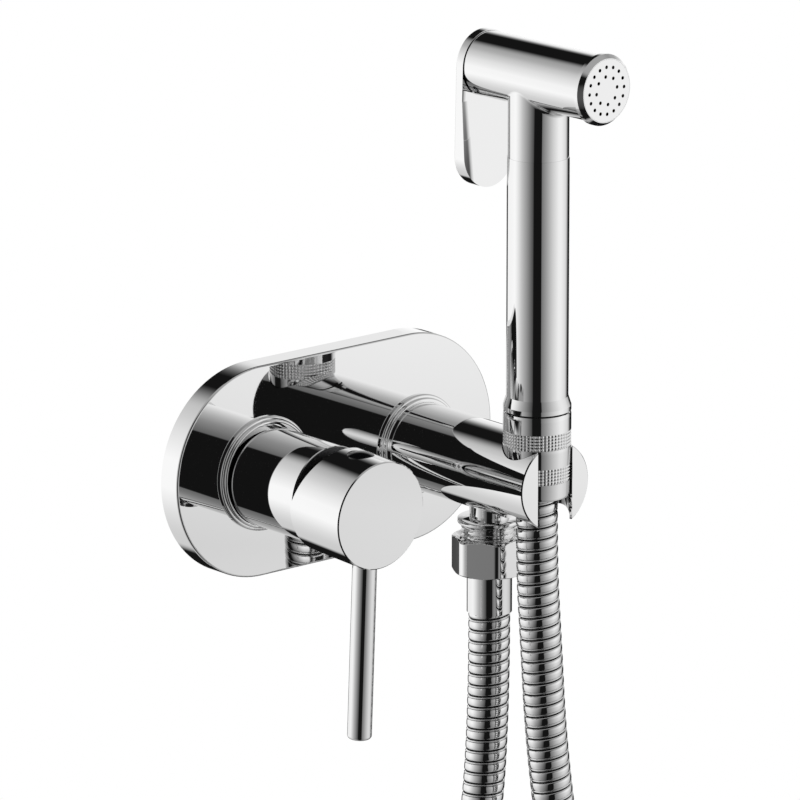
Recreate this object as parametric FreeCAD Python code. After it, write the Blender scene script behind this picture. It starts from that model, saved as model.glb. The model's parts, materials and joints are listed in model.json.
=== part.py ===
"""Concealed bidet shower mixer: a wall plate with a single-lever mixer and a handset on a hose.

Millimetres. X runs to the right along the plate, Y into the wall and Z up. The origin is the
middle of the plate on the wall's face, so all that shows has a negative Y. Lengths that are
called "out" are distances in front of the wall, and a negative "out" is inside the wall.
"""
import FreeCAD
import Part
import math
import os

V = FreeCAD.Vector

# Fits: radial clearances between pieces
FIT = 0.05            # screwed or pushed together
RUN = 0.06            # turns or slides
SEAT = 0.3            # lifts off or tips
OVER = 1.0            # a cutter runs past what it cuts by this much
BEVEL = 0.4           # small edges

# Cover plate and gasket
PLATE_LENGTH = 146.0
PLATE_HEIGHT = 77.0
PLATE_DEPTH = 9.0
PLATE_WALL = 2.0
PLATE_EDGE = 0.8
GASKET_WIDTH = 5.0
GASKET_THICK = 3.0

# Places of the two axes that come out of the wall
MIXER_INSET = 39.6    # from the plate's left end
ARM_INSET = 35.0      # from the plate's right end
MIXER_X = MIXER_INSET - PLATE_LENGTH / 2
ARM_X = PLATE_LENGTH / 2 - ARM_INSET
MIXER_Z = -1.4
ARM_Z = -2.9

# Mixer: chamber, sleeve and handle
CARTRIDGE_RADIUS = 12.8
CHAMBER_WALL = 2.4
SLEEVE_WALL = 2.7
SLEEVE_LIP = 1.5
SLEEVE_LIP_WIDTH = 4.0
SLEEVE_FRONT = 46.2
RIM_RECESS = 0.5      # the chamber's rim lies this far behind the sleeve's lip
SLEEVE_RING_WIDTH = 2.8
SLEEVE_RING_PLAY = 0.7
SLEEVE_RING_RISE = 0.6    # it hangs loose on the sleeve and stands a little high
RING_THICK = 2.6
RING_STEP = 1.1
RING_ROUND = 0.9
RING_STEP_WIDTH = 1.1
HANDLE_STEP = 1.5
HANDLE_GAP = 0.5
HANDLE_LENGTH = 26.1
HANDLE_WALL = 4.3
HANDLE_CAVITY = 8.0
PIVOT_DEPTH = 5.2     # behind the sleeve's front
REST_LEAN = 2.7       # the closed handle dips by this angle
FLOW_TILT = 18.0
RELIEF_SPARE = 2.5

# Lever pin, clamping screw and its plug
PIN_RADIUS = 4.35
PIN_VISIBLE = 64.6
PIN_SETBACK = 7.9     # behind the handle's front
PIN_SUNK = 7.0
PIN_EDGE = 1.2
PLUG_RADIUS = 4.8
PLUG_SETBACK = 11.9
PLUG_SUNK = 2.5
PLUG_RISE = 0.3       # how far its brim stands out at the sides
PLUG_DOME = 1.2
GRUB_RADIUS = 2.5
GRUB_LENGTH = 8.0
GRUB_KEY = 1.25
GRUB_KEY_DEPTH = 3.0

# Ceramic cartridge
BASE_THICK = 3.5
FIXED_DISC_THICK = 3.5
MOVING_DISC_THICK = 3.0
CARRIER_THICK = 3.0
MOVING_RADIUS = 8.8
MIXING_RADIUS = 6.4
MIXING_DEPTH = 1.2
PORT_CIRCLE = 6.2
PORT_RADIUS = 2.6
PORT_ANGLES = {"hot": 210.0, "cold": 330.0, "mixed": 90.0}
RING_SECTION = 0.6    # half the thickness of the base's seals
HOUSING_WALL = 1.1
HOUSING_FRONT = 2.5
NECK_RADIUS = 9.2
NECK_WALL = 1.24
NECK_LENGTH = 5.5
ROTOR_FLANGE = 2.6
STACK_GAP = 0.2
ROTOR_STANDS_OUT = 0.5
CLAMP_NUT_THICK = 4.5
CLAMP_NUT_SLOT = 3.0
CLAMP_NUT_NOTCH = 1.5
BALL_REACH = 8.5
BALL_RADIUS = 2.2
BALL_NECK = 1.7
STEM_SIDE = 6.2
STEM_SHOULDER = 5.5
STEM_END_SETBACK = 6.8
STEM_PIN_RADIUS = 1.2
STEM_PIN_SHORT = 0.3
ROTOR_SLOT = 12.0

# Brass body in the wall
BODY_FRONT = -14.0
BODY_BACK = -42.0
BODY_TOP = 16.0
BODY_BOTTOM = -20.0
BODY_END = 15.0       # the block ends this far past its outermost bore
BODY_EDGE = 5.0
PASSAGE_OUT = -28.0
INLET_SPREAD = 20.0
INLET_BOSS = 13.5
INLET_BORE = 10.2     # wall radius of a half-inch pipe thread
INLET_DEPTH = 13.0
INLET_MOUTH = -52.0
BOSS_RADIUS = 13.5
BOSS_FRONT = 1.5
LUG_RADIUS = 8.0
LUG_THICK = 5.0
LUG_HOLE = 2.75
LUG_REACH = 8.0

# Outlet arm with the handset socket
ARM_RADIUS = 15.8
ARM_FRONT = 83.5
ARM_RING_WIDTH = 2.7
ARM_SPIGOT_RADIUS = 9.0
ARM_SPIGOT_LENGTH = 11.0
ARM_BORE = 4.5
SOCKET_OUT = 73.7
SLOT_HALF = 8.1
ARM_SEAL_SECTION = 1.0

# Outlet under the arm
OUTLET_OUT = 48.4
NECK_OUTLET_RADIUS = 7.2
NIPPLE_SUNK = 6.0
NIPPLE_NECK = 2.9
NIPPLE_RIM = 11.5
NIPPLE_RIM_THICK = 1.6
NIPPLE_CONE = 1.0
THREAD_RADIUS = 10.3
NIPPLE_THREAD = 12.7
VALVE_INSERT_RADIUS = 6.4
VALVE_INSERT_BORE = 2.6
VALVE_INSERT_LENGTH = 13.0
WASHER_THICK = 2.0

# Hose nut, ferrule and hose
NUT_FLATS = 25.0
NUT_HEIGHT = 13.4
NUT_WALL = 1.5
NUT_CHAMFER = 1.3
NUT_BEVEL = 30.0
NUT_LIP = 0.6         # the nut's floor reaches this far in over the ferrule
NUT_TURN = 59.0
FLANGE_THICK = 1.2
FERRULE_RADIUS = 8.1
FERRULE_LENGTH = 14.7
INSERT_FIT = 0.2
INSERT_BORE = 4.3
INSERT_REACH = 10.0
HOSE_RADIUS = 7.5
HOSE_BORE = 5.9
HOSE_GROOVE = 0.7
HOSE_RIBS = 120
RIB_FLOOR = 0.2       # of the pitch, the bottom of the groove
RIB_SLOPE = 0.2       # of the pitch, each side of the groove

# Knurled conical nut and the foot of the handset
COLLAR_RADIUS = 12.1
CONE_BOTTOM_RADIUS = 11.6
CONE_START = 12.9     # above the arm's axis
CONE_BOTTOM = -4.8    # from the arm's axis
CONE_TOP = 26.3
END_FERRULE_LENGTH = 12.3
END_FERRULE_RADIUS = 7.4
HOSE_SUNK = 3.0
COLLAR_GAP = 0.3
COLLAR_HEIGHT = 5.0
COLLAR_CHAMFER = 3.4
TAIL_BORE = 4.5

# Handset
TUBE_RADIUS = 11.0
TUBE_WALL = 1.5
TUBE_LENGTH = 86.3
NECK_STEP = 0.2
SPIGOT_LENGTH = 9.0
HEAD_TURN = 2.6       # the handset stands in its holder turned to the right by this angle
HEAD_RADIUS = 11.7
HEAD_RISE = 29.0      # the head's axis lies this far above the tube's top
HEAD_FRONT = 30.5     # in front of the tube's axis
HEAD_REAR = 25.3      # behind it
HEAD_FILLET = 1.8
WATERWAY_RADIUS = 6.0
CHAMBER_RADIUS = 8.2
CHAMBER_REAR = 11.7   # behind the tube's axis
SPRAY_CHAMBER_RADIUS = 9.4
SPRAY_CHAMBER_DEPTH = 14.0
FACE_RING_RADIUS = 12.65
FACE_RING_LENGTH = 3.4
FACE_RING_CHAMFER = 1.3
FACE_RING_TAPER = 1.8
FACE_RADIUS = 11.05
FACE_THICK = 2.0
FACE_SEAL_SECTION = 0.65
HOLE_RADIUS = 0.65
# Count, circle's radius and turn in degrees of each circle of spray holes
HOLE_CIRCLES = [(16, 8.35, 1.5), (8, 5.0, 7.0)]

# Thumb lever and the shut-off valve behind the spray face
THUMB_WIDTH = 24.0
THUMB_DROP = 32.3     # between the centres of its two round ends
THUMB_THICK = 3.6
THUMB_SWELL = 2.6     # how much thicker it gets from the head to its lower end
THUMB_GAP = 0.7
THUMB_LEAN = 1.5
THUMB_EDGE = 0.6
THUMB_ARM = 7.5       # the pivot lies this far below the head's axis
THUMB_PIVOT_DEPTH = 3.2
THUMB_PRESS = 8.0
LUG_WIDTH = 6.0
LUG_ROUND = 2.8
PIVOT_PIN_RADIUS = 1.25
STEM_RADIUS = 1.5
STEM_HEAD_RADIUS = 3.2
STEM_HEAD_THICK = 0.8
POCKET_RADIUS = 4.4
POCKET_SKIN = 0.9
POCKET_DEPTH = 2.0
SLIT_RADIUS = 2.4
KEYHOLE_RISE = 6.0
SEAT_RING_THICK = 3.0
SEAT_RING_BORE = 4.0
VALVE_SEAL_RADIUS = 6.2
VALVE_SEAL_THICK = 2.2
VALVE_FLANGE_THICK = 1.5
GLAND_THICK = 1.6
SPRING_RADIUS = 4.6
SPRING_WIRE = 0.5
SPRING_TURNS = 5
SPRING_SPARE = 1.2    # stored as short as it is when the lever is pressed

# Sizes that follow from the ones above
chamber_bore = CARTRIDGE_RADIUS + FIT
chamber_outer = chamber_bore + CHAMBER_WALL
sleeve_bore = chamber_outer + FIT
sleeve_radius = sleeve_bore + SLEEVE_WALL
handle_radius = sleeve_radius + HANDLE_STEP
pivot_out = SLEEVE_FRONT - PIVOT_DEPTH
handle_rear = SLEEVE_FRONT + HANDLE_GAP
handle_front = handle_rear + HANDLE_LENGTH
chamber_rim = SLEEVE_FRONT - SLEEVE_LIP - RIM_RECESS
carrier_front = pivot_out - BALL_REACH + CARRIER_THICK / 2
carrier_back = carrier_front - CARRIER_THICK
moving_back = carrier_back - MOVING_DISC_THICK
fixed_back = moving_back - FIXED_DISC_THICK
chamber_floor = fixed_back - BASE_THICK
rotor_back = carrier_front + STACK_GAP
rotor_shoulder = rotor_back + ROTOR_FLANGE
housing_shoulder = rotor_shoulder + STACK_GAP + HOUSING_FRONT
neck_front = housing_shoulder + NECK_LENGTH
rest_rise = BALL_REACH * math.sin(math.radians(REST_LEAN))
arm_bottom = ARM_Z - ARM_RADIUS
nipple_rim_z = arm_bottom - NIPPLE_NECK
thread_top_z = nipple_rim_z - NIPPLE_RIM_THICK - NIPPLE_CONE
nipple_end_z = thread_top_z - NIPPLE_THREAD
nut_bottom_z = nipple_end_z - WASHER_THICK - FLANGE_THICK - NUT_WALL
nut_top_z = nut_bottom_z + NUT_HEIGHT
insert_radius = HOSE_BORE - INSERT_FIT
ferrule_end_z = nut_bottom_z - FIT - FERRULE_LENGTH
cone_bottom_z = ARM_Z + CONE_BOTTOM
cone_start_z = ARM_Z + CONE_START
cone_top_z = ARM_Z + CONE_TOP
hose_end_z = cone_bottom_z + HOSE_SUNK
end_flange_z = hose_end_z + END_FERRULE_LENGTH
tail_end_z = end_flange_z + FLANGE_THICK + WASHER_THICK
collar_z = cone_top_z + COLLAR_GAP
tube_bottom_z = collar_z + COLLAR_HEIGHT
tube_top_z = tube_bottom_z + TUBE_LENGTH
tube_bore = TUBE_RADIUS - TUBE_WALL
head_z = tube_top_z + HEAD_RISE
head_front = SOCKET_OUT + HEAD_FRONT
head_rear = SOCKET_OUT - HEAD_REAR
face_front = head_front + FACE_RING_LENGTH
face_back = face_front - FACE_THICK
spray_chamber_back = head_front - SPRAY_CHAMBER_DEPTH
seat_back = spray_chamber_back - SEAT_RING_THICK
valve_chamber_back = SOCKET_OUT - CHAMBER_REAR
thumb_inner = head_rear - THUMB_GAP
thumb_pivot_out = head_rear + THUMB_PIVOT_DEPTH
thumb_pivot_z = head_z - THUMB_ARM

MADE = {}


def loop(points):
    """A closed face from points; an item that is a pair of points is an arc by way of the first."""
    edges = []
    here = points[0]
    for item in points[1:] + [points[0]]:
        if isinstance(item[0], tuple):
            middle, end = item
            edges.append(Part.Arc(V(here[0], 0, here[1]), V(middle[0], 0, middle[1]),
                                  V(end[0], 0, end[1])).toShape())
            here = end
        else:
            if abs(item[0] - here[0]) > 1e-9 or abs(item[1] - here[1]) > 1e-9:
                edges.append(Part.makeLine(V(here[0], 0, here[1]), V(item[0], 0, item[1])))
            here = item
    return Part.Face(Part.Wire(edges))


def turned_up(profile, x, out):
    """A piece turned about the upright line at x and out; the profile is (radius, height)."""
    piece = loop(profile).revolve(V(0, 0, 0), V(0, 0, 1), 360)
    piece.translate(V(x, -out, 0))
    return piece


def turned_out(profile, x, z):
    """A piece turned about the line that leaves the wall at x and z; profile is (radius, out)."""
    piece = loop(profile).revolve(V(0, 0, 0), V(0, 0, 1), 360)
    piece.rotate(V(0, 0, 0), V(1, 0, 0), 90)
    piece.translate(V(x, 0, z))
    return piece


def corner(radius, height, rounding, below=False):
    """The arc that rounds a profile's outer corner, at its top or at its bottom."""
    share = rounding * (1 - math.sqrt(0.5))
    side = 1 if below else -1
    return ((radius - share, height + side * share), (radius - rounding, height))


def ring_profile(inner, outer, low, high):
    return [(inner, low), (outer, low), (outer, high), (inner, high)]


def rod_profile(radius, low, high, edge=0.0):
    """A solid rod with a bevel at its high end."""
    return [(0, low), (radius, low), (radius, high - edge), (radius - edge, high), (0, high)]


def block(x0, x1, out0, out1, z0, z1):
    return Part.makeBox(x1 - x0, out1 - out0, z1 - z0, V(x0, -out1, z0))


def cross_rod(radius, x0, x1, out, z):
    return Part.makeCylinder(radius, x1 - x0, V(x0, -out, z), V(1, 0, 0))


def stadium(half_straight, radius, out0, out1, x=0.0, z=0.0, upright=False):
    """A plate with two round ends between two distances from the wall."""
    far = [V(half_straight, 0, radius), V(half_straight + radius, 0, 0), V(half_straight, 0, -radius),
           V(-half_straight, 0, -radius), V(-half_straight - radius, 0, 0), V(-half_straight, 0, radius)]
    outline = Part.Wire([
        Part.Arc(far[0], far[1], far[2]).toShape(),
        Part.makeLine(far[2], far[3]),
        Part.Arc(far[3], far[4], far[5]).toShape(),
        Part.makeLine(far[5], far[0])])
    plate = Part.Face(outline).extrude(V(0, -(out1 - out0), 0))
    if upright:
        plate.rotate(V(0, 0, 0), V(0, 1, 0), 90)
    plate.translate(V(x, -out0, z))
    return plate


def front_edges(solid, out):
    """The edges that lie wholly at one distance from the wall."""
    return [e for e in solid.Edges
            if all(abs(v.Point.y + out) < 1e-6 for v in e.Vertexes)
            and abs(e.BoundBox.YMin + out) < 1e-6 and abs(e.BoundBox.YMax + out) < 1e-6]


def at_ports(radius, out0, out1, circle=PORT_CIRCLE):
    """Bores for the hot, cold and mixed water between two distances from the wall."""
    return [turned_out(rod_profile(radius, out0, out1), *port_place(name, circle))
            for name in PORT_ANGLES]


def port_place(name, circle=PORT_CIRCLE):
    angle = math.radians(PORT_ANGLES[name])
    return (MIXER_X + circle * math.cos(angle), MIXER_Z + circle * math.sin(angle))


def leaned(piece):
    """Turns a piece of the handle into its closed position about the lever's pivot."""
    piece.rotate(V(MIXER_X, -pivot_out, MIXER_Z), V(1, 0, 0), REST_LEAN)
    return piece


def held(piece):
    """Turns a piece of the handset's head about the tube, as it stands in the holder."""
    piece.rotate(V(ARM_X, -SOCKET_OUT, 0), V(0, 0, 1), HEAD_TURN)
    return piece


def save(name, shape):
    solids = shape.Solids
    whole = solids[0] if len(solids) == 1 else Part.makeCompound(solids)
    if not solids or not all(s.isValid() for s in solids):
        raise RuntimeError("bad solid in " + name)
    MADE[name] = whole
    whole.exportStep("parts/" + name + ".step")


def wall_pieces():
    """The cover plate, its gasket and the two stepped rings."""
    radius = PLATE_HEIGHT / 2
    straight = PLATE_LENGTH / 2 - radius
    plate = stadium(straight, radius, 0, PLATE_DEPTH)
    plate = plate.makeFillet(PLATE_EDGE, front_edges(plate, PLATE_DEPTH))
    inside = stadium(straight, radius - PLATE_WALL, -OVER, PLATE_DEPTH - PLATE_WALL)
    sleeve_hole = turned_out(rod_profile(sleeve_radius + SEAT, -OVER, PLATE_DEPTH + OVER), MIXER_X, MIXER_Z)
    arm_hole = turned_out(rod_profile(ARM_RADIUS + SEAT, -OVER, PLATE_DEPTH + OVER), ARM_X, ARM_Z)
    save("cover_plate", plate.cut([inside, sleeve_hole, arm_hole]))

    gasket_radius = radius - PLATE_WALL - FIT
    gasket = stadium(straight, gasket_radius, 0, GASKET_THICK)
    hole = stadium(straight, gasket_radius - GASKET_WIDTH, -OVER, GASKET_THICK + OVER)
    save("plate_gasket", gasket.cut(hole))

    for name, tube, play, width, x, z in (
            ("sleeve_flange", sleeve_radius, SLEEVE_RING_PLAY, SLEEVE_RING_WIDTH, MIXER_X,
             MIXER_Z + SLEEVE_RING_RISE),
            ("arm_flange", ARM_RADIUS, FIT, ARM_RING_WIDTH, ARM_X, ARM_Z)):
        bore = tube + play
        outer = tube + width
        step = outer - RING_STEP_WIDTH
        low = PLATE_DEPTH
        mid = low + RING_THICK - RING_STEP
        top = low + RING_THICK
        profile = [(bore, low), (outer, low), (outer, mid - RING_ROUND),
                   corner(outer, mid, RING_ROUND), (step, mid), (step, top - RING_ROUND),
                   corner(step, top, RING_ROUND), (bore, top)]
        save(name, turned_out(profile, x, z))


def valve_body():
    """The brass body: cartridge chamber, outlet boss, inlets, drillings and fixing lugs."""
    low_x = MIXER_X - INLET_SPREAD - BODY_END
    high_x = ARM_X + BODY_END
    body = block(low_x, high_x, BODY_BACK, BODY_FRONT, BODY_BOTTOM, BODY_TOP)
    body = body.makeFillet(BODY_EDGE, body.Edges)
    chamber = turned_out(rod_profile(chamber_outer, PASSAGE_OUT, chamber_rim), MIXER_X, MIXER_Z)
    boss = turned_out(rod_profile(BOSS_RADIUS, PASSAGE_OUT, BOSS_FRONT), ARM_X, ARM_Z)
    adds = [chamber, boss]
    cuts = [turned_out(rod_profile(chamber_bore, chamber_floor, chamber_rim + OVER), MIXER_X, MIXER_Z)]
    cuts += at_ports(PORT_RADIUS, PASSAGE_OUT, chamber_floor + OVER)
    for name, side in (("hot", -1), ("cold", 1)):
        x = MIXER_X + side * INLET_SPREAD
        port_x, port_z = port_place(name)
        adds.append(turned_up(rod_profile(INLET_BOSS, INLET_MOUTH, MIXER_Z), x, PASSAGE_OUT))
        cuts.append(turned_up(rod_profile(INLET_BORE, INLET_MOUTH - OVER, INLET_MOUTH + INLET_DEPTH),
                              x, PASSAGE_OUT))
        cuts.append(turned_up(rod_profile(ARM_BORE, INLET_MOUTH, port_z), x, PASSAGE_OUT))
        cuts.append(cross_rod(PORT_RADIUS, min(x, port_x), max(x, port_x), PASSAGE_OUT, port_z))
    mixed_x, mixed_z = port_place("mixed")
    cuts.append(cross_rod(PORT_RADIUS, mixed_x, ARM_X, PASSAGE_OUT, mixed_z))
    spigot_end = BOSS_FRONT - ARM_SPIGOT_LENGTH
    cuts.append(turned_out(rod_profile(ARM_SPIGOT_RADIUS + FIT, spigot_end, BOSS_FRONT + OVER),
                           ARM_X, ARM_Z))
    cuts.append(turned_out(rod_profile(WATERWAY_RADIUS, PASSAGE_OUT, BOSS_FRONT), ARM_X, ARM_Z))
    for x, side in ((low_x, -1), (high_x, 1)):
        middle = x + side * LUG_REACH
        adds.append(turned_out(rod_profile(LUG_RADIUS, BODY_FRONT - LUG_THICK, BODY_FRONT),
                               middle, MIXER_Z))
        adds.append(block(min(x - side * BODY_EDGE, middle), max(x - side * BODY_EDGE, middle),
                          BODY_FRONT - LUG_THICK, BODY_FRONT, MIXER_Z - LUG_RADIUS, MIXER_Z + LUG_RADIUS))
        cuts.append(turned_out(rod_profile(LUG_HOLE, BODY_FRONT - LUG_THICK - OVER, BODY_FRONT + OVER),
                               middle, MIXER_Z))
    save("valve_body", body.fuse(adds).removeSplitter().cut(cuts))
    print("fixing holes at x", low_x - LUG_REACH, high_x + LUG_REACH)


def cartridge():
    """The ceramic cartridge: base, discs, housing, rotor and the lever's stem."""
    base = turned_out(rod_profile(CARTRIDGE_RADIUS, chamber_floor, fixed_back), MIXER_X, MIXER_Z)
    seal_middle = PORT_RADIUS + RING_SECTION + FIT
    groove = seal_middle + RING_SECTION + FIT
    seal_out = chamber_floor + RING_SECTION
    base = base.cut(at_ports(PORT_RADIUS, chamber_floor - OVER, fixed_back + OVER))
    save("cartridge_base", base.cut(at_ports(groove, chamber_floor, chamber_floor + 2 * RING_SECTION)))
    seals = []
    for name in PORT_ANGLES:
        x, z = port_place(name)
        seals.append(Part.makeTorus(seal_middle, RING_SECTION, V(x, -seal_out, z), V(0, -1, 0)))
    save("base_seals", Part.makeCompound(seals))

    fixed_radius = CARTRIDGE_RADIUS - HOUSING_WALL - FIT
    fixed = turned_out(rod_profile(fixed_radius, fixed_back, moving_back), MIXER_X, MIXER_Z)
    save("fixed_disc", fixed.cut(at_ports(PORT_RADIUS, fixed_back - OVER, moving_back + OVER)))

    disc_z = MIXER_Z + rest_rise
    moving = turned_out(rod_profile(MOVING_RADIUS, moving_back, carrier_back), MIXER_X, disc_z)
    mixing = turned_out(rod_profile(MIXING_RADIUS, moving_back - OVER, moving_back + MIXING_DEPTH),
                        MIXER_X, disc_z)
    save("moving_disc", moving.cut(mixing))
    carrier = turned_out(rod_profile(MOVING_RADIUS, carrier_back, carrier_front, BEVEL),
                         MIXER_X, disc_z)
    socket = turned_out(rod_profile(BALL_RADIUS + SEAT, carrier_back - OVER, carrier_front + OVER),
                        MIXER_X, disc_z)
    save("disc_carrier", carrier.cut(socket))

    cavity = CARTRIDGE_RADIUS - HOUSING_WALL
    neck_bore = NECK_RADIUS - NECK_WALL
    inner_front = housing_shoulder - HOUSING_FRONT
    housing = [(cavity, fixed_back), (CARTRIDGE_RADIUS, fixed_back),
               (CARTRIDGE_RADIUS, housing_shoulder), (NECK_RADIUS, housing_shoulder),
               (NECK_RADIUS, neck_front), (neck_bore, neck_front), (neck_bore, inner_front),
               (cavity, inner_front)]
    save("cartridge_housing", turned_out(housing, MIXER_X, MIXER_Z))

    nut_bore = NECK_RADIUS + SEAT
    nut_front = housing_shoulder + CLAMP_NUT_THICK
    nut = turned_out(ring_profile(nut_bore, chamber_bore - FIT, housing_shoulder, nut_front),
                     MIXER_X, MIXER_Z)
    slots = []
    for turn in (0, 90):
        slot = block(-chamber_bore, chamber_bore, nut_front - CLAMP_NUT_NOTCH, nut_front + OVER,
                     -CLAMP_NUT_SLOT / 2, CLAMP_NUT_SLOT / 2)
        slot.rotate(V(0, 0, 0), V(0, 1, 0), turn)
        slot.translate(V(MIXER_X, 0, MIXER_Z))
        slots.append(slot)
    save("cartridge_nut", nut.cut(slots))

    shaft = neck_bore - RUN
    rotor_front = neck_front + ROTOR_STANDS_OUT
    rotor = turned_out([(0, rotor_back), (cavity - RUN, rotor_back), (cavity - RUN, rotor_shoulder),
                        (shaft, rotor_shoulder), (shaft, rotor_front), (0, rotor_front)],
                       MIXER_X, MIXER_Z)
    half_slot = STEM_SIDE / 2 + 2 * RUN
    gap = block(MIXER_X - half_slot, MIXER_X + half_slot, rotor_back - OVER, rotor_front + OVER,
                MIXER_Z - ROTOR_SLOT / 2, MIXER_Z + ROTOR_SLOT / 2)
    pin_reach = shaft - STEM_PIN_SHORT
    bore = cross_rod(STEM_PIN_RADIUS + FIT, MIXER_X - shaft - OVER, MIXER_X + shaft + OVER,
                     pivot_out, MIXER_Z)
    save("stem_rotor", rotor.cut([gap, bore]))
    save("stem_pin", cross_rod(STEM_PIN_RADIUS, MIXER_X - pin_reach, MIXER_X + pin_reach,
                               pivot_out, MIXER_Z))

    stem_end = handle_front - STEM_END_SETBACK
    half = STEM_SIDE / 2
    shoulder = pivot_out - STEM_SHOULDER
    stem = block(MIXER_X - half, MIXER_X + half, shoulder, stem_end, MIXER_Z - half, MIXER_Z + half)
    ball_out = pivot_out - BALL_REACH
    neck = turned_out(rod_profile(BALL_NECK, ball_out, shoulder), MIXER_X, MIXER_Z)
    ball = Part.makeSphere(BALL_RADIUS, V(MIXER_X, -ball_out, MIXER_Z))
    eye = cross_rod(STEM_PIN_RADIUS + RUN, MIXER_X - half - OVER, MIXER_X + half + OVER, pivot_out, MIXER_Z)
    trim = block(MIXER_X - half, MIXER_X + half, ball_out - BALL_RADIUS - OVER, carrier_back + STACK_GAP,
                 MIXER_Z - half, MIXER_Z + half)
    save("lever_stem", leaned(stem.fuse([neck, ball]).cut([eye, trim])))


def sleeve_and_handle():
    """The sleeve round the cartridge and the tipping handle with its pin, screw and plug."""
    lip_bore = sleeve_bore - SLEEVE_LIP_WIDTH
    sleeve_back = PLATE_DEPTH - PLATE_WALL
    sleeve = [(sleeve_bore, sleeve_back), (sleeve_radius, sleeve_back),
              (sleeve_radius, SLEEVE_FRONT - BEVEL), (sleeve_radius - BEVEL, SLEEVE_FRONT),
              (lip_bore, SLEEVE_FRONT), (lip_bore, SLEEVE_FRONT - SLEEVE_LIP),
              (sleeve_bore, SLEEVE_FRONT - SLEEVE_LIP)]
    save("mixer_sleeve", turned_out(sleeve, MIXER_X, MIXER_Z))

    cavity = handle_radius - HANDLE_WALL
    cavity_end = handle_rear + HANDLE_CAVITY
    start = SLEEVE_FRONT - handle_radius
    handle = leaned(turned_out(rod_profile(handle_radius, start, handle_front, BEVEL),
                               MIXER_X, MIXER_Z))
    hollow = leaned(turned_out(rod_profile(cavity, start - OVER, cavity_end), MIXER_X, MIXER_Z))
    half = STEM_SIDE / 2 + FIT
    stem_end = handle_front - STEM_END_SETBACK
    stem_hole = leaned(block(MIXER_X - half, MIXER_X + half, cavity_end - OVER, stem_end + FIT,
                             MIXER_Z - half, MIXER_Z + half))
    far = 3 * handle_radius
    behind = block(MIXER_X - far, MIXER_X + far, -far, handle_rear, MIXER_Z - far, MIXER_Z + far)
    relief = block(MIXER_X - far, MIXER_X + far, -far, handle_rear, MIXER_Z - far, MIXER_Z + far)
    relief.rotate(V(MIXER_X, -handle_rear, MIXER_Z), V(1, 0, 0), FLOW_TILT + RELIEF_SPARE)
    above = block(MIXER_X - far, MIXER_X + far, -far, far + handle_front, MIXER_Z, MIXER_Z + far)
    pin_out = handle_front - PIN_SETBACK
    pin_top = MIXER_Z - handle_radius + PIN_SUNK
    pin_hole = leaned(turned_up(rod_profile(PIN_RADIUS + FIT, MIXER_Z - 2 * handle_radius, pin_top),
                                MIXER_X, pin_out))
    plug_out = handle_front - PLUG_SETBACK
    plug_seat = MIXER_Z + handle_radius - PLUG_SUNK
    plug_hole = leaned(turned_up(rod_profile(PLUG_RADIUS + FIT, plug_seat, MIXER_Z + 2 * handle_radius),
                                 MIXER_X, plug_out))
    grub_low = MIXER_Z + STEM_SIDE / 2 + FIT
    grub_hole = leaned(turned_up(rod_profile(GRUB_RADIUS + FIT, MIXER_Z, plug_seat + OVER),
                                 MIXER_X, plug_out))
    handle = handle.cut([behind, relief.common(above), hollow, stem_hole, pin_hole, plug_hole, grub_hole])
    save("handle_cap", handle)

    tip = MIXER_Z - handle_radius - PIN_VISIBLE
    pin = [(0, pin_top), (PIN_RADIUS, pin_top), (PIN_RADIUS, tip + PIN_EDGE),
           corner(PIN_RADIUS, tip, PIN_EDGE, below=True), (0, tip)]
    save("lever_pin", leaned(turned_up(pin, MIXER_X, pin_out)))

    grub = turned_up(rod_profile(GRUB_RADIUS, grub_low, grub_low + GRUB_LENGTH, BEVEL), MIXER_X, plug_out)
    key = turned_up(rod_profile(GRUB_KEY, grub_low + GRUB_LENGTH - GRUB_KEY_DEPTH,
                               grub_low + GRUB_LENGTH + OVER),
                    MIXER_X, plug_out)
    save("handle_screw", leaned(grub.cut(key)))

    brim = MIXER_Z + math.sqrt(handle_radius ** 2 - PLUG_RADIUS ** 2) + PLUG_RISE
    dome = (PLUG_RADIUS ** 2 + PLUG_DOME ** 2) / (2 * PLUG_DOME)
    half_cap = math.asin(PLUG_RADIUS / dome) / 2
    crown = brim + PLUG_DOME
    on_dome = (dome * math.sin(half_cap), crown - dome * (1 - math.cos(half_cap)))
    plug = [(0, plug_seat), (PLUG_RADIUS, plug_seat), (PLUG_RADIUS, brim), (on_dome, (0, crown))]
    save("screw_plug", leaned(turned_up(plug, MIXER_X, plug_out)))


def cone_line(clearance, low_z):
    """Radius of the conical nut, or of its socket, at a height on the taper."""
    slope = (COLLAR_RADIUS - CONE_BOTTOM_RADIUS) / (CONE_START - CONE_BOTTOM)
    return COLLAR_RADIUS + clearance - slope * (cone_start_z - low_z)


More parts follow.
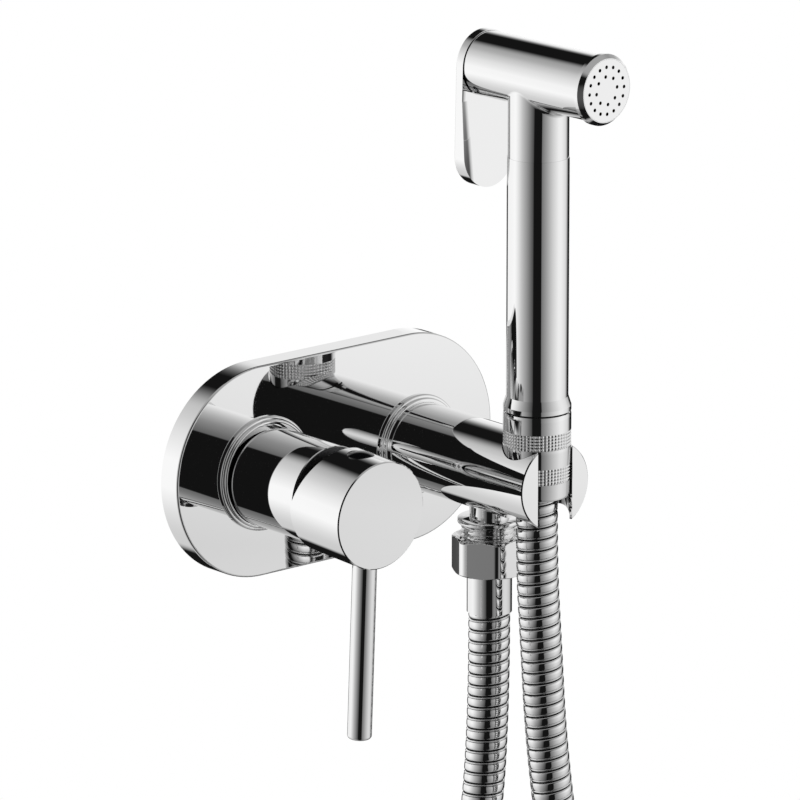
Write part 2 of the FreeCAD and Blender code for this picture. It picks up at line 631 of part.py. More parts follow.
def arm_and_outlet():
    """The arm with its conical socket, and the outlet, nut and ferrule below it."""
    back = BOSS_FRONT
    spigot_end = BOSS_FRONT - ARM_SPIGOT_LENGTH
    arm = turned_out([(0, spigot_end), (ARM_SPIGOT_RADIUS, spigot_end), (ARM_SPIGOT_RADIUS, back),
                      (ARM_RADIUS, back), (ARM_RADIUS, ARM_FRONT - BEVEL),
                      (ARM_RADIUS - BEVEL, ARM_FRONT), (0, ARM_FRONT)], ARM_X, ARM_Z)
    seal_ring = ARM_SPIGOT_RADIUS + ARM_SEAL_SECTION + FIT
    seal_groove = turned_out(ring_profile(ARM_SPIGOT_RADIUS, seal_ring + ARM_SEAL_SECTION + FIT,
                                          back - OVER, back + 2 * ARM_SEAL_SECTION), ARM_X, ARM_Z)
    channel_end = OUTLET_OUT + ARM_BORE
    channel = turned_out(rod_profile(ARM_BORE, spigot_end - OVER, channel_end), ARM_X, ARM_Z)
    outlet = turned_up(rod_profile(NECK_OUTLET_RADIUS + FIT, arm_bottom - OVER, arm_bottom + NIPPLE_SUNK),
                       ARM_X, OUTLET_OUT)
    drop = turned_up(rod_profile(ARM_BORE, arm_bottom, ARM_Z), ARM_X, OUTLET_OUT)
    below = arm_bottom - OVER
    above = ARM_Z + ARM_RADIUS + OVER
    socket = turned_up([(0, below), (cone_line(SEAT, below), below),
                        (COLLAR_RADIUS + SEAT, cone_start_z), (COLLAR_RADIUS + SEAT, above), (0, above)],
                       ARM_X, SOCKET_OUT)
    slot = block(ARM_X - SLOT_HALF, ARM_X + SLOT_HALF, SOCKET_OUT, ARM_FRONT + OVER, below, above)
    save("outlet_arm", arm.cut([seal_groove, channel, outlet, drop, socket, slot]))
    save("arm_seal", Part.makeTorus(seal_ring, ARM_SEAL_SECTION,
                                    V(ARM_X, -(back + ARM_SEAL_SECTION), ARM_Z), V(0, -1, 0)))

    cone_low = nipple_rim_z - NIPPLE_RIM_THICK
    insert_bore = VALVE_INSERT_RADIUS + FIT
    insert_top = nipple_end_z + VALVE_INSERT_LENGTH
    nipple = [(ARM_BORE, arm_bottom + NIPPLE_SUNK), (NECK_OUTLET_RADIUS, arm_bottom + NIPPLE_SUNK),
              (NECK_OUTLET_RADIUS, nipple_rim_z), (NIPPLE_RIM, nipple_rim_z),
              (NIPPLE_RIM, cone_low), (THREAD_RADIUS, thread_top_z), (THREAD_RADIUS, nipple_end_z),
              (insert_bore, nipple_end_z), (insert_bore, insert_top), (ARM_BORE, insert_top)]
    save("outlet_nipple", turned_up(nipple, ARM_X, OUTLET_OUT))
    check = ring_profile(VALVE_INSERT_BORE, VALVE_INSERT_RADIUS, nipple_end_z, insert_top - SEAT)
    save("outlet_check_valve", turned_up(check, ARM_X, OUTLET_OUT))

    point = NUT_FLATS / math.sqrt(3)
    hexagon = [V(point * math.cos(math.radians(NUT_TURN + 60 * k)),
                 point * math.sin(math.radians(NUT_TURN + 60 * k)), nut_bottom_z) for k in range(7)]
    nut = Part.Face(Part.makePolygon(hexagon)).extrude(V(0, 0, NUT_HEIGHT))
    nut.translate(V(ARM_X, -OUTLET_OUT, 0))
    flat = NUT_FLATS / 2
    tall = (point - flat) * math.tan(math.radians(NUT_BEVEL))
    bevel = turned_up([(0, nut_bottom_z), (flat, nut_bottom_z), (point, nut_bottom_z + tall),
                       (point, nut_top_z - tall), (flat, nut_top_z), (0, nut_top_z)],
                      ARM_X, OUTLET_OUT)
    insert_flange_z = nut_bottom_z + NUT_WALL
    floor_bore = FERRULE_RADIUS - NUT_LIP
    hollow = turned_up([(0, nut_bottom_z - OVER), (floor_bore, nut_bottom_z - OVER),
                        (floor_bore, insert_flange_z), (THREAD_RADIUS + FIT, insert_flange_z),
                        (THREAD_RADIUS + FIT, nut_top_z - NUT_CHAMFER),
                        (THREAD_RADIUS + FIT + NUT_CHAMFER, nut_top_z + FIT), (0, nut_top_z + FIT)],
                       ARM_X, OUTLET_OUT)
    save("hose_nut", nut.common(bevel).cut(hollow))
    save("nut_washer", turned_up(ring_profile(ARM_BORE, THREAD_RADIUS, insert_flange_z + FLANGE_THICK,
                                              nipple_end_z), ARM_X, OUTLET_OUT))
    insert = [(INSERT_BORE, ferrule_end_z - INSERT_REACH), (insert_radius, ferrule_end_z - INSERT_REACH),
              (insert_radius, insert_flange_z), (THREAD_RADIUS, insert_flange_z),
              (THREAD_RADIUS, insert_flange_z + FLANGE_THICK),
              (INSERT_BORE, insert_flange_z + FLANGE_THICK)]
    save("hose_insert", turned_up(insert, ARM_X, OUTLET_OUT))
    top = nut_bottom_z - FIT
    ferrule = [(insert_radius + FIT, ferrule_end_z), (FERRULE_RADIUS, ferrule_end_z),
               (FERRULE_RADIUS, top - BEVEL), (FERRULE_RADIUS - BEVEL, top), (insert_radius + FIT, top)]
    save("hose_ferrule", turned_up(ferrule, ARM_X, OUTLET_OUT))


# The hose's route from the ferrule to the conical nut, as (across, aside, z). "Across" runs along
# the plane in which the hose hangs and "aside" square to it, both from half way between its ends.
HOSE_PLANE = math.radians(-25.8)
HOSE_ROUTE = [
    (-5.5, 11.4, None), (-4.8, 11.4, -97.0), (-9.5, 10.3, -144.0), (-22.5, 8.5, -195.0),
    (-44.0, 6.0, -246.0), (-68.0, 3.5, -297.0), (-86.0, 1.0, -352.0), (-86.0, 0.0, -409.9),
    (-53.1, 0.0, -455.1), (0.0, 0.0, -472.4), (53.1, -0.5, -455.1), (86.0, -1.5, -409.9),
    (86.0, -3.0, -353.0), (72.0, -5.0, -299.0), (50.0, -7.0, -247.0), (29.0, -8.5, -196.0),
    (15.0, -9.8, -143.0), (9.4, -10.8, -98.0), (7.4, -11.2, -63.0), (5.5, -11.4, -33.0),
    (5.5, -11.4, None)]


def hose_points():
    """The route in space; its ends stand on the ferrule and under the conical nut."""
    middle_out = (OUTLET_OUT + SOCKET_OUT) / 2
    across = V(math.cos(HOSE_PLANE), math.sin(HOSE_PLANE), 0)
    aside = V(-across.y, across.x, 0)
    points = [V(ARM_X, -middle_out, z or 0) + across * a + aside * b for a, b, z in HOSE_ROUTE]
    for index, out in ((0, OUTLET_OUT), (1, OUTLET_OUT), (-1, SOCKET_OUT), (-2, SOCKET_OUT)):
        points[index].x = ARM_X
        points[index].y = -out
    points[0].z = ferrule_end_z
    points[-1].z = hose_end_z
    return points


def hose_path(points):
    """Straight runs joined by tangent arcs, and each arc's radius."""
    edges = []
    radii = []
    here = points[0]
    for before, bend, after in zip(points, points[1:], points[2:]):
        inward = (before - bend).normalize()
        onward = (after - bend).normalize()
        half_turn = (math.pi - inward.getAngle(onward)) / 2
        trim = 0.45 * min((before - bend).Length, (after - bend).Length)
        radius = trim / math.tan(half_turn)
        start = bend + inward * trim
        end = bend + onward * trim
        bisector = (inward + onward).normalize()
        middle = bend + bisector * (radius / math.cos(half_turn) - radius)
        edges.append(Part.makeLine(here, start))
        edges.append(Part.Arc(start, middle, end).toShape())
        radii.append(radius)
        here = end
    edges.append(Part.makeLine(here, points[-1]))
    return Part.Wire(edges), radii


def hose():
    """The ribbed hose with its bore."""
    path, radii = hose_path(hose_points())
    length = path.Length
    print("hose length", round(length, 1), "bend radii", [round(r) for r in radii])
    aside = V(-math.sin(HOSE_PLANE), math.cos(HOSE_PLANE), 0)
    spans = []
    total = 0.0
    for edge in path.Edges:
        spans.append((total, edge))
        total += edge.Length

    def section(distance, radius):
        begin, edge = [s for s in spans if s[0] <= distance + 1e-9][-1]
        near = edge.getParameterByLength(min(distance - begin, edge.Length))
        tangent = edge.tangentAt(near)
        steady = (aside - tangent * aside.dot(tangent)).normalize()
        circle = Part.Circle(edge.valueAt(near), tangent, radius)
        circle.XAxis = steady
        return Part.Wire(circle.toShape())

    plain = 2 * HOSE_RADIUS
    pitch = (length - 2 * plain) / HOSE_RIBS
    valley = HOSE_RADIUS - HOSE_GROOVE
    sections = [section(0.0, HOSE_RADIUS), section(plain - pitch * RIB_SLOPE, HOSE_RADIUS)]
    for k in range(HOSE_RIBS):
        start = plain + pitch * k
        for share, radius in ((0.0, valley), (RIB_FLOOR, valley), (RIB_FLOOR + RIB_SLOPE, HOSE_RADIUS),
                              (1.0 - RIB_SLOPE, HOSE_RADIUS)):
            sections.append(section(start + pitch * share, radius))
    sections += [section(length - plain, valley), section(length - plain + pitch * RIB_SLOPE, HOSE_RADIUS),
                 section(length, HOSE_RADIUS)]
    outside = Part.makeLoft(sections, True, True)
    bore = path.makePipeShell([section(0.0, HOSE_BORE)], True, False)
    tube = outside.cut(bore)
    mean = math.pi * ((HOSE_RADIUS - HOSE_GROOVE * (RIB_FLOOR + RIB_SLOPE)) ** 2 - HOSE_BORE ** 2) * length
    print("hose volume", round(tube.Volume), "of about", round(mean))
    save("shower_hose", tube)


def conical_nut():
    """The knurled conical nut, and the hose's end inside it."""
    bore = THREAD_RADIUS + FIT
    hose_way = HOSE_RADIUS + SEAT
    nut = [(hose_way, cone_bottom_z), (CONE_BOTTOM_RADIUS - BEVEL, cone_bottom_z),
           (CONE_BOTTOM_RADIUS, cone_bottom_z + BEVEL), (COLLAR_RADIUS, cone_start_z),
           (COLLAR_RADIUS, cone_top_z - BEVEL), (COLLAR_RADIUS - BEVEL, cone_top_z),
           (bore, cone_top_z), (bore, end_flange_z), (hose_way, end_flange_z)]
    save("cone_nut", turned_up(nut, ARM_X, SOCKET_OUT))
    flange_top = end_flange_z + FLANGE_THICK
    low = hose_end_z - INSERT_REACH
    insert = [(INSERT_BORE, low), (insert_radius, low), (insert_radius, end_flange_z),
              (THREAD_RADIUS, end_flange_z), (THREAD_RADIUS, flange_top), (INSERT_BORE, flange_top)]
    save("hose_end_insert", turned_up(insert, ARM_X, SOCKET_OUT))
    save("hose_end_ferrule", turned_up(ring_profile(insert_radius + FIT, END_FERRULE_RADIUS, hose_end_z,
                                                    end_flange_z), ARM_X, SOCKET_OUT))


def handset():
    """The handset: foot, tube, T-shaped head, spray face and the pieces of its valve."""
    save("handset_washer", turned_up(ring_profile(TAIL_BORE, THREAD_RADIUS,
                                                  end_flange_z + FLANGE_THICK, tail_end_z),
                                     ARM_X, SOCKET_OUT))
    spigot = tube_bore - FIT
    tail = [(TAIL_BORE, tail_end_z), (THREAD_RADIUS, tail_end_z), (THREAD_RADIUS, collar_z),
            (COLLAR_RADIUS, collar_z), (COLLAR_RADIUS, tube_bottom_z - COLLAR_CHAMFER),
            (TUBE_RADIUS, tube_bottom_z), (spigot, tube_bottom_z),
            (spigot, tube_bottom_z + SPIGOT_LENGTH), (TAIL_BORE, tube_bottom_z + SPIGOT_LENGTH)]
    save("handset_tail", turned_up(tail, ARM_X, SOCKET_OUT))
    save("handset_tube", turned_up(ring_profile(tube_bore, TUBE_RADIUS, tube_bottom_z, tube_top_z),
                                   ARM_X, SOCKET_OUT))

    barrel = turned_out(rod_profile(HEAD_RADIUS, head_rear, head_front), ARM_X, head_z)
    neck = turned_up(rod_profile(TUBE_RADIUS - NECK_STEP, tube_top_z, head_z), ARM_X, SOCKET_OUT)
    head = barrel.fuse(neck).removeSplitter()
    joint = [e for e in head.Edges
             if e.BoundBox.ZMin > tube_top_z + OVER and e.BoundBox.ZMax < head_z + OVER
             and e.BoundBox.YMax < -head_rear - OVER and e.BoundBox.YMin > -head_front + OVER
             and e.BoundBox.ZLength > OVER and e.BoundBox.YLength > OVER]
    head = head.makeFillet(HEAD_FILLET, joint)
    shank = turned_up(rod_profile(spigot, tube_top_z - SPIGOT_LENGTH, tube_top_z + OVER), ARM_X, SOCKET_OUT)
    waterway = turned_up(rod_profile(WATERWAY_RADIUS, tube_top_z - SPIGOT_LENGTH - OVER, head_z),
                         ARM_X, SOCKET_OUT)
    stem_hole = STEM_RADIUS + RUN
    inside = turned_out([(0, head_rear - OVER), (stem_hole, head_rear - OVER),
                         (stem_hole, valve_chamber_back),
                         (CHAMBER_RADIUS, valve_chamber_back), (CHAMBER_RADIUS, spray_chamber_back),
                         (SPRAY_CHAMBER_RADIUS, spray_chamber_back),
                         (SPRAY_CHAMBER_RADIUS, head_front + OVER), (0, head_front + OVER)], ARM_X, head_z)
    lug_way = LUG_WIDTH / 2 + SEAT
    reach = thumb_pivot_out + LUG_ROUND + SEAT
    pocket = block(ARM_X - lug_way, ARM_X + lug_way, head_rear - OVER, reach,
                   head_z - HEAD_RADIUS - OVER, thumb_pivot_z + LUG_ROUND + SEAT)
    pin_hole = cross_rod(PIVOT_PIN_RADIUS + FIT, ARM_X - HEAD_RADIUS, ARM_X + HEAD_RADIUS,
                         thumb_pivot_out, thumb_pivot_z)
    save("head_body", held(head.fuse(shank).cut([waterway, inside, pocket, pin_hole])))
    pin_half = math.sqrt(HEAD_RADIUS ** 2 - (THUMB_ARM + PIVOT_PIN_RADIUS) ** 2) - SEAT
    pivot = cross_rod(PIVOT_PIN_RADIUS, ARM_X - pin_half, ARM_X + pin_half, thumb_pivot_out, thumb_pivot_z)
    save("thumb_pivot", held(pivot))

    ring = [(FACE_RADIUS + FIT, head_front), (FACE_RING_RADIUS, head_front),
            (FACE_RING_RADIUS, face_front - FACE_RING_TAPER),
            (FACE_RING_RADIUS - FACE_RING_CHAMFER, face_front), (FACE_RADIUS + FIT, face_front)]
    save("face_ring", held(turned_out(ring, ARM_X, head_z)))
    face = turned_out(rod_profile(FACE_RADIUS, face_back, face_front), ARM_X, head_z)
    holes = []
    for count, circle, turn in HOLE_CIRCLES:
        for k in range(count):
            angle = 2 * math.pi * k / count + math.radians(turn)
            holes.append(turned_out(rod_profile(HOLE_RADIUS, face_back - OVER, face_front + OVER),
                                    ARM_X + circle * math.cos(angle), head_z + circle * math.sin(angle)))
    save("spray_face", held(face.cut(holes)))
    seal_out = (head_front + face_back) / 2
    seal = Part.makeTorus(FACE_RADIUS - FACE_SEAL_SECTION - FIT, FACE_SEAL_SECTION,
                          V(ARM_X, -seal_out, head_z), V(0, -1, 0))
    save("face_seal", held(seal))


def thumb_and_valve():
    """The thumb lever, and the valve that it pulls open against a spring."""
    half = THUMB_DROP / 2
    width = THUMB_WIDTH / 2
    outer = thumb_inner - THUMB_THICK
    middle_z = head_z - half
    lever = stadium(half, width, outer, thumb_inner, ARM_X, middle_z, upright=True)
    lever = lever.makeFillet(THUMB_EDGE, front_edges(lever, outer))
    below_head = head_z - HEAD_RADIUS - 2 * SEAT
    low_end = head_z - THUMB_DROP - width
    wedge = Part.Face(Part.makePolygon([
        V(ARM_X - width, -thumb_inner + OVER, below_head), V(ARM_X - width, -thumb_inner, below_head),
        V(ARM_X - width, -thumb_inner - THUMB_SWELL, low_end), V(ARM_X - width, -thumb_inner + OVER, low_end),
        V(ARM_X - width, -thumb_inner + OVER, below_head)])).extrude(V(THUMB_WIDTH, 0, 0))
    outline = stadium(half, width, thumb_inner - OVER, thumb_inner + THUMB_SWELL, ARM_X, middle_z,
                      upright=True)
    swell = outline.common(wedge)
    lug = block(ARM_X - LUG_WIDTH / 2, ARM_X + LUG_WIDTH / 2, thumb_inner - OVER, thumb_pivot_out,
                thumb_pivot_z - LUG_ROUND, thumb_pivot_z + LUG_ROUND)
    knuckle = cross_rod(LUG_ROUND, ARM_X - LUG_WIDTH / 2, ARM_X + LUG_WIDTH / 2,
                        thumb_pivot_out, thumb_pivot_z)
    eye = cross_rod(PIVOT_PIN_RADIUS + RUN, ARM_X - LUG_WIDTH, ARM_X + LUG_WIDTH,
                    thumb_pivot_out, thumb_pivot_z)
    skin = thumb_inner - POCKET_SKIN
    deep = skin - POCKET_DEPTH
    rise = KEYHOLE_RISE / 2
    pocket = stadium(rise, POCKET_RADIUS, deep, skin, ARM_X, head_z + rise, upright=True)
    slit = stadium(rise, SLIT_RADIUS, skin - OVER, thumb_inner + OVER, ARM_X, head_z + rise, upright=True)
    keyhole = turned_out(rod_profile(POCKET_RADIUS, deep, thumb_inner + OVER), ARM_X,
                         head_z + KEYHOLE_RISE)
    lever = lever.fuse([swell, lug, knuckle]).removeSplitter().cut([eye, pocket, slit, keyhole])
    lever.rotate(V(ARM_X, -thumb_pivot_out, thumb_pivot_z), V(1, 0, 0), THUMB_LEAN)
    save("thumb_lever", held(lever))

    seat_ring = ring_profile(SEAT_RING_BORE, CHAMBER_RADIUS - FIT, seat_back, spray_chamber_back)
    save("valve_seat", held(turned_out(seat_ring, ARM_X, head_z)))
    seal_back = seat_back - VALVE_SEAL_THICK
    flange_back = seal_back - VALVE_FLANGE_THICK
    disc = ring_profile(STEM_RADIUS + FIT, VALVE_SEAL_RADIUS, seal_back, seat_back)
    save("valve_seal", held(turned_out(disc, ARM_X, head_z)))
    head_middle = skin - POCKET_DEPTH / 2
    head_low = head_middle - STEM_HEAD_THICK / 2
    head_high = head_middle + STEM_HEAD_THICK / 2
    tip = seat_back - SEAT
    stem = [(0, head_low), (STEM_HEAD_RADIUS, head_low), (STEM_HEAD_RADIUS, head_high),
            (STEM_RADIUS, head_high), (STEM_RADIUS, flange_back), (VALVE_SEAL_RADIUS, flange_back),
            (VALVE_SEAL_RADIUS, seal_back), (STEM_RADIUS, seal_back), (STEM_RADIUS, tip), (0, tip)]
    save("valve_stem", held(turned_out(stem, ARM_X, head_z)))
    gland_front = valve_chamber_back + GLAND_THICK
    gland = ring_profile(STEM_RADIUS + RUN, CHAMBER_RADIUS - FIT, valve_chamber_back, gland_front)
    save("stem_seal", held(turned_out(gland, ARM_X, head_z)))
    first = gland_front + SPRING_WIRE
    last = flange_back - SPRING_WIRE - SPRING_SPARE
    pitch = (last - first) / SPRING_TURNS
    helix = Part.makeHelix(pitch, last - first, SPRING_RADIUS)
    wire = Part.Wire(helix)
    start = Part.Wire(Part.makeCircle(SPRING_WIRE, V(SPRING_RADIUS, 0, 0), V(0, 1, 0)))
    coil = wire.makePipeShell([start], True, True)
    coil.rotate(V(0, 0, 0), V(1, 0, 0), 90)
    coil.translate(V(ARM_X, -first, head_z))
    save("valve_spring", held(coil))


def main():
    os.makedirs("parts", exist_ok=True)
    wall_pieces()
    valve_body()
    cartridge()
    sleeve_and_handle()
    arm_and_outlet()
    hose()
    conical_nut()
    handset()
    thumb_and_valve()
    print(len(MADE), "pieces")


main()
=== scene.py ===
"""Concealed bidet shower mixer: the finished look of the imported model.

The CAD nodes keep their shapes and get their finishes here. The strip-wound hose, the knurled
conical nut, the hexagon nut with its rounded corners and the threaded outlet are modelled in
full and stand for their plainer CAD nodes.
Everything is in metres, in the model's own frame: the wall's face is y = 0 and z points up.
"""
import bisect
import json
import math

import bmesh
import bpy
from bpy.props import FloatProperty, FloatVectorProperty, IntProperty, PointerProperty
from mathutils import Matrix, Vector


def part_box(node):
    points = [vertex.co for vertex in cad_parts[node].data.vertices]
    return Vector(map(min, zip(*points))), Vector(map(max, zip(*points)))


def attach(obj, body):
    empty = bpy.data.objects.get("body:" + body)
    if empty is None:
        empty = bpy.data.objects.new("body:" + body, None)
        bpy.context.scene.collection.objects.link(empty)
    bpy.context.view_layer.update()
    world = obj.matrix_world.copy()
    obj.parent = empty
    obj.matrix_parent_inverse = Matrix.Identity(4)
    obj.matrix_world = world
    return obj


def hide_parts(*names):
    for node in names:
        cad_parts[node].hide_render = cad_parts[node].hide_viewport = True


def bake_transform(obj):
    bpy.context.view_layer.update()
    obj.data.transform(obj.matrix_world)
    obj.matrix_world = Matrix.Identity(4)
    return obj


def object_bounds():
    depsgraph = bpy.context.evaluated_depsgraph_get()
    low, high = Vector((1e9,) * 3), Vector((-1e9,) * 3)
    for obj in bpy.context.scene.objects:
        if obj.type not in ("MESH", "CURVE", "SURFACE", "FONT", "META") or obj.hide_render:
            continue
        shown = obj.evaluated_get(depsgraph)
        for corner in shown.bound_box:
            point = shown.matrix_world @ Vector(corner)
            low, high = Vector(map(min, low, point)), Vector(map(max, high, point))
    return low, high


bl_info = {
    "name": "Concealed bidet shower mixer",
    "version": (1, 0, 0),
    "blender": (4, 5, 0),
    "location": "View3D > Sidebar > Mixer",
    "description": "Builds the hose, the nuts, the threaded outlet, the finishes and the studio",
    "category": "Object",
}

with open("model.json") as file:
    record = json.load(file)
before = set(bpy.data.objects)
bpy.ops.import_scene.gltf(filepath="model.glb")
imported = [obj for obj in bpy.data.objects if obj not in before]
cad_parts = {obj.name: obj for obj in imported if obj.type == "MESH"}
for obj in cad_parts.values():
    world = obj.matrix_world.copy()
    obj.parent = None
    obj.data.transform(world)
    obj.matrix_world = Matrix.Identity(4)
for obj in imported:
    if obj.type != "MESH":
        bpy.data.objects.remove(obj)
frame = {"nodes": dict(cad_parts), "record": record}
cad_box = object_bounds()
nodes = frame["nodes"]

MM = 0.001

# Upright axes of the outlet and of the handset's socket, which hang from the same arm
ARM_X = 0.038
OUTLET_Y = -0.0484
SOCKET_Y = -0.0737

# The hose's route from the ferrule to the conical nut, in metres: along the plane in which it
# hangs, square to that plane, and height. Its ends stand on the axes of the outlet and the socket.
HOSE_PLANE = math.radians(-25.8)
HOSE_ROUTE = [
    (-0.0055, 0.0114, -0.05635), (-0.0048, 0.0114, -0.0970), (-0.0095, 0.0103, -0.1440),
    (-0.0225, 0.0085, -0.1950), (-0.0440, 0.0060, -0.2460), (-0.0680, 0.0035, -0.2970),
    (-0.0860, 0.0010, -0.3520), (-0.0860, 0.0000, -0.4099), (-0.0531, 0.0000, -0.4551),
    (0.0000, 0.0000, -0.4724), (0.0531, -0.0005, -0.4551), (0.0860, -0.0015, -0.4099),
    (0.0860, -0.0030, -0.3530), (0.0720, -0.0050, -0.2990), (0.0500, -0.0070, -0.2470),
    (0.0290, -0.0085, -0.1960), (0.0150, -0.0098, -0.1430), (0.0094, -0.0108, -0.0980),
    (0.0074, -0.0112, -0.0630), (0.0055, -0.0114, -0.0330), (0.0055, -0.0114, -0.0047)]

# The shares of the hose's turns at which its hanging loop begins and ends
LOOP_SHARES = (0.34, 0.66)

# One turn of the hose's strip as (share of the pitch, share of the groove's depth): the deep
# groove, the narrow bead of the folded edge, the fine line beside it, and the crowned band
STRIP_MARKS = (
    (0.00, 1.00), (0.05, 0.98), (0.07, 0.50), (0.10, 0.14), (0.15, 0.06), (0.20, 0.14),
    (0.225, 0.50), (0.25, 0.50), (0.275, 0.12), (0.36, 0.03), (0.58, 0.00), (0.80, 0.03),
    (0.90, 0.12), (0.935, 0.50), (0.955, 0.95))
# The steps between those marks that lie down in the groove or in the fine line; their faces are
# painted near black as painted shade
PAINTED_SHADE_STEPS = (0, 1, 6, 13, 14)

# The conical nut: radii, and heights above the arm's axis
CONE_FOOT = 0.0116
CONE_BORE = 0.01035
CONE_HOSE_WAY = 0.0078
CONE_SHOULDER_Z = 0.0100
CONE_FLOOR_Z = 0.0076
CONE_EDGE = 0.0002
KNURL_BANDS_Z = ((0.0109, 0.0166), (-0.0017, 0.0041))
WASHER_GAP = 0.0004
WASHER_SET_BACK = 0.0013

# The hexagon nut: radii, the floor's thickness, and the bevels of its ends
NUT_HOSE_WAY = 0.0075
NUT_BORE = 0.0106
NUT_LEAD_IN = 0.0013
NUT_FLOOR = 0.0015
NUT_BEVEL = math.radians(30)
NUT_BEVEL_INSIDE = 0.0002
NUT_BEVEL_RING = 0.0001
NUT_BEVEL_RINGS = 12

# The threaded outlet: radii, heights, and how fast its thread rises from the plain root
OUTLET_WATERWAY = 0.0045
OUTLET_NECK = 0.0072
OUTLET_EDGE = 0.0002
RIM_TOP_Z = -0.0216
RIM_LOW_Z = -0.0232
THREAD_CREST = 0.0103
THREAD_FLANK = 2.6
THREAD_FLAT = 0.15
THREAD_FADE_TOP = 0.0006
THREAD_FADE_LOW = 0.001
VALVE_POCKET = 0.00645
VALVE_POCKET_DEPTH = 0.013

# The studio's places and sizes
CAMERA_TARGET = Vector((-0.001069, -0.045, 0.027613))
FLOOR_DROP = 0.02
FLOOR_REACH = 3.0
WALL_REACH = 0.6
WALL_TOP = 0.5
WALL_DEPTH = 0.0004
TENT_RADIUS = 1.2
TENT_MIDDLE = (0.0, -0.045, 0.0)
LAMP_AIM = Vector((0, -0.04, 0))
# The soft boxes: name, place, width, power in watts
LAMPS = (("softbox_left", (-1.6, -1.2, 1.6), 1.4, 16.0),
         ("softbox_right", (1.8, -1.4, 0.9), 1.2, 9.0))

# How bright the tent's cloth is. Its directions are in degrees: turn is 0 toward the camera and
# grows to the right, and rise is 0 at eye level and grows upward. The banks list (turn, light),
# and the others (rise, light or share of it).
LEFT_BANK = ((-150.0, 1.02), (-120.0, 1.04), (-95.0, 1.09), (-84.0, 0.97), (-74.0, 0.82),
             (-62.0, 0.61), (-50.0, 0.45), (-38.0, 0.31), (-26.0, 0.17), (-15.0, 0.06))
RIGHT_BANK = ((14.0, 0.18), (34.0, 0.39), (58.0, 0.71), (82.0, 0.97), (94.0, 0.98),
              (106.0, 0.90), (118.0, 0.80), (128.0, 0.60), (150.0, 0.70), (168.0, 1.04))
RIGHT_BY_RISE = ((-20.0, 0.91), (-18.0, 0.83), (-15.0, 0.93), (-12.0, 1.01))
ALL_BY_RISE = ((-60.0, 0.50), (-40.0, 0.68), (-30.0, 0.80), (-23.0, 0.90), (-15.0, 1.0),
               (5.0, 1.0), (16.0, 0.88), (24.0, 0.79), (32.0, 0.67), (38.0, 0.59),
               (44.0, 0.47), (50.0, 0.40), (58.0, 0.42), (80.0, 0.42))
OVERHEAD = (("rise", 40.0, 54.0, 0.0, 1.0),)
OVERHEAD_LIGHT = 0.95
DARKEST = 0.008
# Dark patches: each the product of soft edges (direction, begin, end, dark before, dark after).
# The slot's right edge leans away above and below eye level, by the marks (rise, degrees).
SLOT_LEAN = ((12.0, 0.0), (40.0, 8.0))
CAMERA_SLOT = (("turn", -16.5, -13.5, 0.0, 1.0), ("leaning_turn", 13.0, 16.0, 1.0, 0.0))
REAR_PATCHES = (
    (("rise", 18.0, 38.0, 0.0, 1.0), ("turn", -144.0, -118.0, 1.0, 0.0)),
    (("rise", 18.0, 38.0, 0.0, 1.0), ("turn", 138.0, 156.0, 0.0, 1.0)),
    (("rise", -30.0, -22.0, 1.0, 0.0), ("turn", -151.0, -138.0, 1.0, 0.0)),
    (("rise", -30.0, -22.0, 1.0, 0.0), ("turn", 124.0, 142.0, 0.0, 1.0)),
    (("rise", -5.0, 1.0, 0.98, 0.0), ("turn", -153.0, -146.0, 1.0, 0.0)),
    (("rise", -5.0, 1.0, 0.98, 0.0), ("turn", 124.0, 142.0, 0.0, 1.0)))


def srgb(code):
    """A colour written as sRGB hex, as linear red, green and blue."""
    parts = [int(code[k:k + 2], 16) / 255 for k in (1, 3, 5)]
    return tuple(p / 12.92 if p <= 0.04045 else ((p + 0.055) / 1.055) ** 2.4 for p in parts)


def pattern_scale(mm):
    """The scale of a pattern whose grains have this size on the object."""
    return 1.0 / (mm * MM)


def add_node(tree, kind, inputs=None, **settings):
    """Adds a node; each input is set to a value, or linked when the value is another's output."""
    node = tree.nodes.new(kind)
    for name, value in settings.items():
        setattr(node, name, value)
    for name, value in (inputs or {}).items():
        if isinstance(value, bpy.types.NodeSocket):
            tree.links.new(value, node.inputs[name])
        else:
            node.inputs[name].default_value = value
    return node


def new_material(name):
    material = bpy.data.materials.new(name)
    material.use_nodes = True
    material.node_tree.nodes.clear()
    return material, material.node_tree


# Finishes. Their patterns lie on the object's own coordinates, so they ride with each body.

